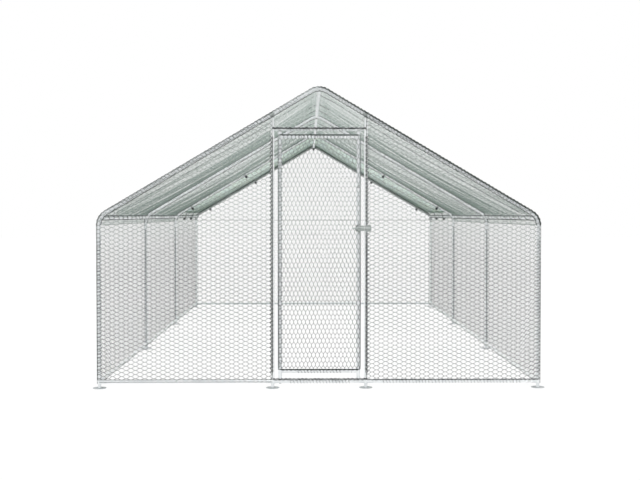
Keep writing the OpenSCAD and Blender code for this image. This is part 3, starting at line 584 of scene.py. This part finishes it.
def rear_nets():
    """The rear wall, and the gable over a seam at the height of the eaves."""
    path = [(-HOOP_EDGE, REAR_NET_Y, 0), (-HOOP_EDGE, REAR_NET_Y, RIDGE_Z)]
    gable_foot = span("rear_gable_net", "z")[0]
    roof_edge = hoop_edge(WHOLE_ROOF)
    for name, edge in (("wall", rectangle(-HOOP_EDGE, HOOP_EDGE, NET_FOOT, WALL_TOP)),
                       ("gable", [(-HOOP_EDGE, gable_foot), (HOOP_EDGE, gable_foot), *roof_edge[::-1]])):
        net(f"rear_{name}_netting", [f"rear_{name}_net"], path, X_WAY,
            [(z, x + HOOP_EDGE) for x, z in edge], DOOR_MESH, (2 * WALL_TOP, 2 * HOOP_EDGE), wire=REAR_WIRE)


def door_net():
    """The leaf's netting, cut out round the plate of the latch."""
    half = span("door_net", "x")[1]
    foot, top = LEAF_RAILS_Z[0] + TUBE_R, span("door_net", "z")[1]
    notch = latch_notch("latch_barrel", span("latch_barrel", "x")[0] - LATCH_ROOM, half)
    edge = [(-half, foot), (half, foot), *notch, (half, top), (-half, top)]
    net("door_netting", ["door_net"], [(half, FRONT_NET_Y, 0), (half, FRONT_NET_Y, top)], -X_WAY,
        [(z, half - x) for x, z in edge], DOOR_MESH, (top, 2 * half), 2 * MM, "door_leaf", selvedge=1.6)


wall_nets()
roof_pieces = roof_nets()
front_nets()
rear_nets()
door_net()


# Lashings: a wire wound round tube and netting

def lashing_tree():
    """A wire wound round each line, at an even pitch."""
    tree = new_tree("lashing", {"Geometry": "Geometry", "Pitch": "Float", "Turn Steps": "Float",
                                "Radius": "Float", "Wire": "Float", "Material": "Material"})
    given = add(tree, "NodeGroupInput")
    step = add(tree, "ShaderNodeMath", {0: given["Pitch"], 1: given["Turn Steps"]}, operation="DIVIDE")[0]
    fine = add(tree, "GeometryNodeResampleCurve", {"Curve": given["Geometry"], "Length": step},
               mode="LENGTH")[0]
    way = add(tree, "GeometryNodeSplineParameter")["Length"]
    place = add(tree, "GeometryNodeInputPosition")[0]
    uneven = add(tree, "ShaderNodeTexNoise", {"Vector": place, "Scale": 5.0})["Fac"]
    turns = add(tree, "ShaderNodeMath", {0: way, 1: given["Pitch"]}, operation="DIVIDE")[0]
    wound = add(tree, "ShaderNodeMath", {0: turns, 1: uneven}, operation="ADD")[0]
    angle = add(tree, "ShaderNodeMath", {0: wound, 1: 2 * math.pi}, operation="MULTIPLY")[0]
    side = add(tree, "GeometryNodeInputNormal")["Normal"]
    tangent = add(tree, "GeometryNodeInputTangent")[0]
    other = add(tree, "ShaderNodeVectorMath", {0: tangent, 1: side}, operation="CROSS_PRODUCT")[0]
    shares = []
    for operation, axis in (("COSINE", side), ("SINE", other)):
        part = add(tree, "ShaderNodeMath", {0: angle}, operation=operation)[0]
        reach = add(tree, "ShaderNodeMath", {0: part, 1: given["Radius"]}, operation="MULTIPLY")[0]
        shares.append(add(tree, "ShaderNodeVectorMath", {0: axis, "Scale": reach}, operation="SCALE")[0])
    off = add(tree, "ShaderNodeVectorMath", {0: shares[0], 1: shares[1]}, operation="ADD")[0]
    coil = add(tree, "GeometryNodeSetPosition", {"Geometry": fine, "Offset": off})[0]
    finish_tree(tree, round_wire(tree, coil, given["Wire"], 4), given["Material"])
    return tree


LASHING = lashing_tree()
END_GAP = 45 * MM  # a lashing starts clear of the screws at a tube's end
RAIL_GAP = 110 * MM  # the same from the axis of the tube beside it
CONNECTOR_ARM = 65 * MM


def lash(name, runs, body="run_frame", pitch=56 * MM, radius=TUBE_R + 1.7 * MM, wire=1.5 * MM,
         turn_steps=10.0):
    """A wire wound round tubes and, at a small radius, the twisted border of the netting."""
    piece = grow(curve_lines(name, runs), LASHING, Pitch=pitch, Turn_Steps=turn_steps, Radius=radius,
                 Wire=wire, Material=SHADE_DARK_BORDER_ZINC)
    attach(piece, body)


def leg_runs(places):
    return [[(side * LEG_X, y, LEG_FOOT + END_GAP), (side * LEG_X, y, LEG_TOP - END_GAP)]
            for y in places for side in (-1, 1)]


def rafter_runs(y):
    runs = []
    for side in (-1, 1):
        ends = [roof_frame(ROOF_L / 2 + side * (ROOF_L / 2 - s))[0]
                for s in (EAVE_ARC / 2 + END_GAP, SLOPE_L - EAVE_ARC / 2 - END_GAP)]
        runs.append([(p.x, y, p.z) for p in ends])
    return runs


def purlin_runs():
    """The eave purlins, bay by bay."""
    gap = BEND_R + END_GAP
    eaves = [roof_frame(way)[0] for way in EAVES]
    return [[(p.x, near + gap, p.z), (p.x, far - gap, p.z)]
            for p in eaves for near, far in zip(HOOP_Y, HOOP_Y[1:])]


def lintel_runs():
    inner = POST_X - RAIL_GAP
    return [[(-inner, HOOP_Y[0], LINTEL_Z), (inner, HOOP_Y[0], LINTEL_Z)]]


def sill_runs():
    """The sill and the base rail on its right."""
    gap = CONNECTOR_ARM + END_GAP
    ends = ((-POST_X, POST_X), (POST_X, LEG_X))
    return [[(left + gap, HOOP_Y[0], RAIL_Z), (right - gap, HOOP_Y[0], RAIL_Z)] for left, right in ends]


def leaf_runs():
    """The hinge stile and the two rails of the leaf."""
    foot, top = LEAF_RAILS_Z[0] + END_GAP, LEAF_RAILS_Z[1] - END_GAP
    inner = STILE_X - RAIL_GAP
    rails = [[(-inner, HOOP_Y[0], z), (inner, HOOP_Y[0], z)] for z in LEAF_RAILS_Z]
    return [[(-STILE_X, HOOP_Y[0], foot), (-STILE_X, HOOP_Y[0], top)], *rails]


lash("front_leg_lashings", leg_runs(HOOP_Y[:1]), pitch=20 * MM, wire=2.6 * MM)
lash("leg_lashings", leg_runs(HOOP_Y[1:]))
lash("front_rafter_lashings", rafter_runs(HOOP_Y[0]), pitch=24 * MM, wire=2.4 * MM)
lash("eave_purlin_lashings", purlin_runs(), pitch=180 * MM, wire=3.5 * MM, radius=TUBE_R + 2 * MM)
DOOR_LASHING = {"pitch": 22 * MM, "wire": 2.2 * MM}
lash("lintel_lashings", lintel_runs(), **DOOR_LASHING)
lash("sill_lashings", sill_runs(), **DOOR_LASHING)
lash("door_leaf_lashings", leaf_runs(), "door_leaf", **DOOR_LASHING)


# Borders of the netting: its cut ends twisted round a line wire, drawn near black, so that they also paint
# the shade along the tubes

EAVE_BORDER = 17 * MM  # from an eave purlin's axis to the borders above and below it
BESIDE = TUBE_R + 2 * MM  # from a tube's axis to a border that lies against it
BELOW_EDGE = 3 * MM  # from a tube's top edge down to a border in front of it
STRAND_GAP = 6 * MM  # between two borders on one tube
KEEPER_ROOM = 8 * MM  # between the keeper and the borders on its post
REAR_LEG_IN = 22 * MM  # from a rear leg's axis in to a border on the rear netting
REAR_LEG_NEAR = 8 * MM  # from a rear leg's axis forward to a border on the wall's netting


def over_roof(y, off):
    return [(p.x, y, p.z) for p in roof_points(WHOLE_ROOF, off)]


def front_borders():
    """Along both edges of the front hoop's roof, doubled on the right slope, then doubled on the lintel and
    on the sill, and single on the right base rail. Doubled ones also lie a little apart in depth. The strands
    are the netting's border; drawn dark, and doubled on the right slope, the lintel and the sill, they also
    paint the shade along these tubes."""
    over_door, foot = LINTEL_Z + TUBE_R, RAIL_Z + TUBE_R
    outer, inner = (over_roof(FRONT_NET_Y, off) for off in (TUBE_R, -TUBE_R - 5 * MM))
    doubled = over_roof(FRONT_NET_Y - 4 * MM, TUBE_R - STRAND_GAP)
    at_door = ((over_door - BELOW_EDGE, 0.0), (over_door - BELOW_EDGE - STRAND_GAP, 2 * MM),
               (foot + STRAND_GAP, -2 * MM), (foot, 2 * MM))
    return [outer, inner, doubled[len(doubled) // 2:],
            *[level(-POST_X, POST_X, z, forward) for z, forward in at_door], level(POST_X, LEG_X, foot)]


def post_borders(x):
    """On the outer half of the two posts, below and above the keeper of the latch."""
    foot, top = LEG_FOOT + END_GAP, LINTEL_Z - END_GAP
    keeper_foot, keeper_top = span("latch_keeper", "z")
    ends = [(-1, foot, top), (1, foot, keeper_foot - KEEPER_ROOM), (1, keeper_top + KEEPER_ROOM, top)]
    return [[(side * x, FRONT_NET_Y, low), (side * x, FRONT_NET_Y, high)] for side, low, high in ends]


def leg_borders():
    """On the side of the inner legs that faces the door."""
    return [[(side * LEG_X, y - BESIDE, z) for z in (RAIL_Z + TUBE_R, LEG_TOP)]
            for y in HOOP_Y[1:3] for side in (-1, 1)]


def thin_borders():
    """Along the base rails, beside the rear legs, and on the seam between the rear wall and its gable. The
    strands low on the left front base rail and inside the side base rails also paint the shadow along the
    tubes' lower edges.
    """
    seam, near = span("rear_gable_net", "z")[0], HOOP_Y[3] - BESIDE
    runs = [level(-LEG_X, -POST_X, RAIL_Z - 3 * MM),
            [(-LEG_X, near, RAIL_Z), (LEG_X, near, RAIL_Z)],
            [(-LEG_X, REAR_NET_Y, seam), (LEG_X, REAR_NET_Y, seam)]]
    for side in (-1, 1):
        inside = side * (LEG_X - TUBE_R - 1 * MM)
        runs.append([(inside, y, RAIL_Z - TUBE_R / 2) for y in (HOOP_Y[0], HOOP_Y[3])])
        on_rear, on_wall = (LEG_X - REAR_LEG_IN, REAR_NET_Y), (LEG_X + NET_OFF, HOOP_Y[3] - REAR_LEG_NEAR)
        runs += [[(side * x, y, RAIL_Z), (side * x, y, LEG_TOP)] for x, y in (on_rear, on_wall)]
    return runs


def rear_hoop_borders():
    """A bundle of gathered wire ends along the rear hoop's roof: three dark strands that also paint the shade
    on the rear hoop under the cover.
    """
    return [over_roof(HOOP_Y[3] - BESIDE, off) for off in (-9 * MM, -1 * MM, 7 * MM)]


def eave_borders():
    """Above and below each eave purlin."""
    front, rear = span("right_wall_net", "y")
    ways = [way + step for way in EAVES for step in (-EAVE_BORDER, EAVE_BORDER)]
    return [[(p.x, front, p.z), (p.x, rear, p.z)] for p in roof_points(ways, 0.0)]


def hoop_borders():
    """Over and under the inner hoops and the rear hoop, where the strips of the roof are laced together."""
    places = ((10 * MM, 11 * MM), (6 * MM, -15 * MM))  # forward of a hoop's axis, and out from it
    return [over_roof(y - forward, off) for y in HOOP_Y[1:] for forward, off in places]


# The bay that each line wire crosses, and its share of the way along that bay
LINE_WIRES = [(0, 0.2), (0, 0.5), (0, 0.72), (1, 0.28), (1, 0.5), (1, 0.8), (2, 0.35), (2, 0.65)]
UNDER_NET = 7 * MM  # from the netting down to a line wire


def line_wires():
    """Wires under the netting of the roof that carry it between the hoops, sagging with it."""
    ways = steps(0, ROOF_L, 24)
    runs = []
    for bay, share in LINE_WIRES:
        place = Vector((0, HOOP_Y[bay] + share * BAY, 0))
        run = []
        for s in ways:
            centre, out = roof_frame(s)
            sag = ROOF_SAG * slope_swell(s) * math.sin(math.pi * share)
            run.append(centre + place + (NET_OFF - sag - UNDER_NET) * out)
        runs.append(run)
    return runs


def leaf_borders():
    """On the top edges of the leaf's two rails."""
    return [level(-STILE_X, STILE_X, z + TUBE_R - BELOW_EDGE) for z in LEAF_RAILS_Z]


def rope(radius, wire):
    """Sizes of a border: the radius that it winds at and the thickness of its strand."""
    return {"pitch": 28 * MM, "radius": radius, "wire": wire, "turn_steps": 8.0}


BORDER = rope(2.0 * MM, 4.8 * MM)
HEAVY_BORDER = rope(2.0 * MM, 5.6 * MM)
FINE_BORDER = rope(1.5 * MM, 4.2 * MM)
lash("front_netting_borders", front_borders(), **BORDER)
lash("door_netting_borders", leaf_borders(), "door_leaf", **HEAVY_BORDER)
lash("eave_netting_borders", eave_borders(), **FINE_BORDER)
lash("roof_netting_borders", hoop_borders(), **FINE_BORDER)
lash("post_netting_borders", post_borders(POST_EDGE - 3 * MM), **rope(2.2 * MM, 3.6 * MM))
lash("post_netting_lashings", post_borders(POST_EDGE + 8 * MM), **rope(6.0 * MM, 5.2 * MM))
lash("leg_netting_borders", leg_borders(), **rope(1.0 * MM, 5.2 * MM))
lash("thin_netting_borders", thin_borders(), **rope(0.8 * MM, 2.6 * MM))
lash("rear_hoop_borders", rear_hoop_borders(), **rope(1.2 * MM, 3.0 * MM))
lash("roof_line_wires", line_wires(), **rope(1.2 * MM, 3.6 * MM))


# Cover over the rear bay

CLOTH = 1.0 * MM
COVER_MID = COVER_OFF + 0.3 * MM  # middle of the cloth, out from the tubes' centrelines
HEM = 32 * MM
REAR_HEM = 300 * MM  # a doubled band over the rear hoop
HEM_THICK = 2.2 * CLOTH
EYELET_IN = 14 * MM  # from the cover's edge to the middle of an eyelet
SCALLOP = 9 * MM  # depth of the edge's curve between two ties
BALL_REACH = 40 * MM  # wider than a ball of the ties, and closer than two of them
COVER_W = COVER_Y[1] - COVER_Y[0]
FOLD_WANDER = 30 * MM  # how far a fold strays to either side

# Each fold's place as a share of the cover's width, then its width, height and phase
FOLDS = [(random.uniform(0.15, 0.85), random.uniform(22, 45) * MM, random.uniform(2.5, 6) * MM,
          random.uniform(0, 2 * math.pi)) for fold in range(9)]


def tie_places():
    """Middle of each ball of the ties, from the frame."""
    left = [v.co.copy() for v in frame["nodes"]["cover_ties"].data.vertices]
    places = []
    while left:
        first = left[0]
        ball = [p for p in left if (p - first).length < BALL_REACH]
        left = [p for p in left if (p - first).length >= BALL_REACH]
        places.append(Vector([(min(side) + max(side)) / 2 for side in zip(*ball)]))
    return places


def along_roof(place):
    """How far along the roof a place under the ridge or a rafter lies."""
    if abs(place.x) < 1 * MM:
        return ROOF_L / 2
    corner = roof_frame(SLOPE_L)[0]
    way = (abs(place.x) - abs(corner.x)) * math.cos(PITCH) - (place.z - corner.z) * math.sin(PITCH)
    return ROOF_L / 2 + math.copysign(way + PITCH * BEND_R, place.x)


TIES = tie_places()
hoop_tie_ways = sorted({round(along_roof(p), 4) for p in TIES if p.z > span("cover", "z")[0]})
edge_ways = [0, *hoop_tie_ways, ROOF_L]


def scallop(s):
    """How far the edge is drawn in between two ties."""
    for near, far in zip(edge_ways, edge_ways[1:]):
        if near <= s <= far:
            return SCALLOP * math.sin(math.pi * (s - near) / (far - near))
    return 0.0


def cover_place(s, y):
    """The cloth's middle at s along the roof and y along the run. It sags with the netting that carries it,
    folds stand up where it is slack, and its outer sixths are drawn in between the ties."""
    to_edge = min(y - COVER_Y[0], COVER_Y[1] - y) / COVER_W
    inward = math.copysign(scallop(s) * max(0, 1 - 6 * to_edge) ** 2, HOOP_Y[2] + BAY / 2 - y)
    bay_share = (y - HOOP_Y[2]) / BAY
    swell = abs(math.sin(math.pi * bay_share)) if 0 < bay_share < 1 else 0.0
    sag = ROOF_SAG * swell * slope_swell(s)
    slope_share = math.sin(2 * math.pi * min(s, ROOF_L - s) / ROOF_L) ** 2 if 0 < s < ROOF_L else 0.0
    fold = 0.0
    for middle_share, width, height, phase in FOLDS:
        ridge = COVER_Y[0] + COVER_W * middle_share + FOLD_WANDER * math.sin(1.3 * s + phase)
        wave = 0.6 + 0.4 * math.sin(2.1 * s + 2 * phase)
        fold += height * wave * math.exp(-((y - ridge) / width) ** 2)
    centre, out = roof_frame(s)
    off = COVER_MID - sag + fold * slope_share * swell
    return centre + Vector((0, y + inward, 0)) + off * out, out


def cloth(name, ways, rows, thickness, finish=HEM_CLOTH, underside=None):
    """A sheet of the cover over a grid of places, with its flat place as its UV map."""
    points = [cover_place(s, y)[0] for s in ways for y in rows]
    n = len(rows)
    faces = [(i * n + j, (i + 1) * n + j, (i + 1) * n + j + 1, i * n + j + 1)
             for i in range(len(ways) - 1) for j in range(n - 1)]
    piece = mesh_piece(name, points, faces, finish)
    flat = piece.data.uv_layers.new(name="flat")
    for loop in piece.data.loops:
        i, j = divmod(loop.vertex_index, n)
        flat.data[loop.index].uv = (ways[i], rows[j])
    for face in piece.data.polygons:
        face.use_smooth = True
    solid = piece.modifiers.new("cloth", "SOLIDIFY")
    solid.thickness = thickness
    solid.offset = 0
    # The inner face gets the underside finish, with its painted light
    if underside:
        piece.data.materials.append(underside)
        solid.material_offset = 1
    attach(piece, "run_frame")
    return piece


all_ways = steps(0, ROOF_L, 170)
all_rows = steps(*COVER_Y, 110)
cover = cloth("cover_cloth", all_ways, all_rows, CLOTH, COVER_CLOTH, COVER_UNDERSIDE_LIT)
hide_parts("cover")
hem_front = cloth("cover_hem_front", all_ways, steps(COVER_Y[0], COVER_Y[0] + HEM, 3), HEM_THICK)
hem_rear = cloth("cover_hem_rear", all_ways, steps(COVER_Y[1] - REAR_HEM, COVER_Y[1], 17), HEM_THICK)
hem_left = cloth("cover_hem_left", steps(0, HEM, 3), all_rows, HEM_THICK)
hem_right = cloth("cover_hem_right", steps(ROOF_L - HEM, ROOF_L, 3), all_rows, HEM_THICK)


# Ties of the cover: an eyelet in the hem, an elastic loop through it, and a ball under the tube

def tie_tree():
    """An eyelet or a ball at each point, its axis along the point's way."""
    tree = new_tree("eyelets_and_balls", {"Geometry": "Geometry", "Ball": "Bool", "Radius": "Float",
                                          "Material": "Material"})
    given = add(tree, "NodeGroupInput")
    radius = given["Radius"]
    lip_r, seam_r, neck_r = (add(tree, "ShaderNodeMath", {0: radius, 1: share}, operation="MULTIPLY")[0]
                             for share in (0.3, 0.035, 0.42))
    ring, lip, bead = (add(tree, "GeometryNodeCurvePrimitiveCircle", {"Resolution": sides, "Radius": r})[0]
                       for sides, r in ((24, radius), (8, lip_r), (6, seam_r)))
    eyelet, seam = (add(tree, "GeometryNodeCurveToMesh", {"Curve": ring, "Profile Curve": edge})[0]
                    for edge in (lip, bead))
    sphere = add(tree, "GeometryNodeMeshUVSphere", {"Segments": 24, "Rings": 14, "Radius": radius})[0]
    neck = add(tree, "GeometryNodeMeshCylinder", {"Vertices": 16, "Radius": neck_r, "Depth": neck_r})[0]
    up = add(tree, "ShaderNodeCombineXYZ", {"Z": radius})[0]
    raised = add(tree, "GeometryNodeTransform", {"Geometry": neck, "Translation": up})[0]
    ball = add(tree, "GeometryNodeJoinGeometry", {0: [sphere, seam, raised]})[0]
    shape = add(tree, "GeometryNodeSwitch", {"Switch": given["Ball"], "False": eyelet, "True": ball},
                input_type="GEOMETRY")[0]
    way = add(tree, "GeometryNodeInputNamedAttribute", {"Name": "way"}, data_type="FLOAT_VECTOR")[0]
    turn = add(tree, "FunctionNodeAlignRotationToVector", {"Vector": way}, axis="Z")[0]
    placed = add(tree, "GeometryNodeInstanceOnPoints", {"Points": given["Geometry"], "Instance": shape,
                                                        "Rotation": turn})[0]
    finish_tree(tree, placed, given["Material"])
    return tree


TIE_TREE = tie_tree()
BALL_R = 14.6 * MM
EYELET_R = 8 * MM
STRAND_R = 2 * MM

# Route of an elastic loop in millimetres: out to the side of the tube, and up from its axis.
# It leaves the ball, goes up through the eyelet, over the hem and back to the ball.
HOOP_LOOP = [(11, -17), (16, -8), (17, 4), (16, 14), (18, 21), (25, 23),
             (31, 20), (34, 13), (31, 3), (23, -9), (14, -20)]
EAVE_LOOP = [(9, -18), (17, -4), (20, 12), (41, 54), (46, 64), (40, 67),
             (30, 61), (24, 51), (24, 42), (18, 12), (12, -20)]
LOOP_SPREAD = 2.4 * MM  # the two strands lie side by side


def marked_points(name, places, ways):
    host = mesh_piece(name, places, [])
    host.data.attributes.new("way", "FLOAT_VECTOR", "POINT")
    for value, way in zip(host.data.attributes["way"].data, ways):
        value.vector = way
    return host


def tie_routes():
    """Each tie's loop, with the place and way of its eyelet and its ball."""
    loops, eyelets, balls = [], [], []
    for ball in TIES:
        if ball.z > span("cover", "z")[0]:
            rear = ball.y > HOOP_Y[2] + BAY / 2
            s = along_roof(ball)
            tube, up = roof_frame(s)
            tube = tube + Vector((0, HOOP_Y[3] if rear else HOOP_Y[2], 0))
            side = Y_WAY if rear else -Y_WAY
            eyelet = cover_place(s, COVER_Y[1] - EYELET_IN if rear else COVER_Y[0] + EYELET_IN)
            route = HOOP_LOOP
        else:
            s = ROOF_L - EYELET_IN if ball.x > 0 else EYELET_IN
            tube = roof_frame(EAVES[1] if ball.x > 0 else EAVES[0])[0] + Vector((0, ball.y, 0))
            side, up = -math.copysign(1, ball.x) * X_WAY, Z_WAY
            eyelet = cover_place(s, ball.y)
            route = EAVE_LOOP
        spread = side.cross(up) * LOOP_SPREAD
        loops.append([tube + a * MM * side + n * MM * up + spread * (2 * i / (len(route) - 1) - 1)
                      for i, (a, n) in enumerate(route)])
        eyelets.append(eyelet)
        balls.append((ball, (loops[-1][0] - ball).normalized()))
    return loops, eyelets, balls


def cover_ties():
    """The eyelets, the balls and the elastic loops of all ties."""
    loops, eyelets, balls = tie_routes()
    rings = grow(marked_points("cover_eyelets", *zip(*eyelets)), TIE_TREE, Ball=False, Radius=EYELET_R,
                 Material=SCREW_ZINC)
    knobs = grow(marked_points("tie_balls", *zip(*balls)), TIE_TREE, Ball=True, Radius=BALL_R,
                 Material=BALL_RUBBER)
    route = curve_lines("tie_loops", loops)
    route.data.bevel_depth = STRAND_R
    route.data.bevel_resolution = 2
    route.data.use_fill_caps = True
    strands = put("elastic_loops", plain_mesh(route))
    bpy.data.objects.remove(route)
    strands.data.materials.clear()
    strands.data.materials.append(BALL_RUBBER)
    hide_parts("cover_ties")
    for piece in (rings, knobs, strands):
        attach(piece, "run_frame")
    return rings


eyelet_rings = cover_ties()


# Floor, light and camera

FLOOR_HALF = 40.0
FLOOR_Z = -1 * MM


def light_table():
    """A white floor that glows a little, as under a photographed product."""
    corners = rectangle(-FLOOR_HALF, FLOOR_HALF, -FLOOR_HALF, FLOOR_HALF)
    floor = mesh_piece("floor", [(x, y, FLOOR_Z) for x, y in corners], [range(4)])
    panel, tree, shader = new_finish("white_light_table")
    grain = add(tree, "ShaderNodeTexNoise", {"Scale": 40.0})[0]
    tone = add(tree, "ShaderNodeMapRange", {"Value": grain, "To Min": 0.055, "To Max": 0.065})[0]
    tree.links.new(tone, shader.inputs["Base Color"])
    shader.inputs["Roughness"].default_value = 0.9
    shader.inputs["Specular IOR Level"].default_value = 0.0
    shader.inputs["Emission Color"].default_value = (1, 1, 1, 1)
    shader.inputs["Emission Strength"].default_value = 0.95
    floor.data.materials.append(panel)


def studio_room():
    """White to the camera. To the metal, a room that is bright overhead and grey at the sides, more on the
    right."""
    world = bpy.data.worlds.new("studio")
    bpy.context.scene.world = world
    world.use_nodes = True
    tree = world.node_tree
    tree.nodes.clear()
    way = add(tree, "ShaderNodeTexCoord")["Generated"]
    ways = add(tree, "ShaderNodeSeparateXYZ", {0: way})
    bright = add(tree, "ShaderNodeMapRange", {"Value": ways["Z"], "From Min": 0.0, "From Max": 0.7,
                                              "To Min": 0.5, "To Max": 1.2})[0]
    shade = add(tree, "ShaderNodeMapRange", {"Value": ways["X"], "From Min": -1.0, "From Max": 1.0,
                                             "To Min": 1.2, "To Max": 0.8})[0]
    strength = add(tree, "ShaderNodeMath", {0: bright, 1: shade}, operation="MULTIPLY")[0]
    room = add(tree, "ShaderNodeBackground", {"Color": (1, 1, 1, 1), "Strength": strength})[0]
    backdrop = add(tree, "ShaderNodeBackground", {"Color": (1, 1, 1, 1), "Strength": 1.0})[0]
    seen = add(tree, "ShaderNodeLightPath")["Is Camera Ray"]
    mixed = add(tree, "ShaderNodeMixShader", {0: seen, 1: room, 2: backdrop})[0]
    add(tree, "ShaderNodeOutputWorld", {"Surface": mixed})


def key_light():
    """A wide sun over the door's end."""
    sun = bpy.data.lights.new("soft_key", "SUN")
    sun.energy = 0.9
    sun.angle = math.radians(40)
    key = put("soft_key", sun)
    key.rotation_euler = (math.radians(30), 0, 0)


def photo_camera():
    """The viewing angle of the photograph, from a camera fitted to the hoops, the door and the feet."""
    camera = put("camera", bpy.data.cameras.new("camera"))
    camera.data.lens = 56.86
    camera.data.sensor_width = 36
    camera.location = (-0.082, -9.8235, 1.176)
    camera.rotation_euler = (math.radians(88.55), 0, math.radians(-0.73))
    bpy.context.scene.camera = camera
    bpy.context.scene.view_settings.view_transform = "Standard"


light_table()
studio_room()
key_light()
photo_camera()
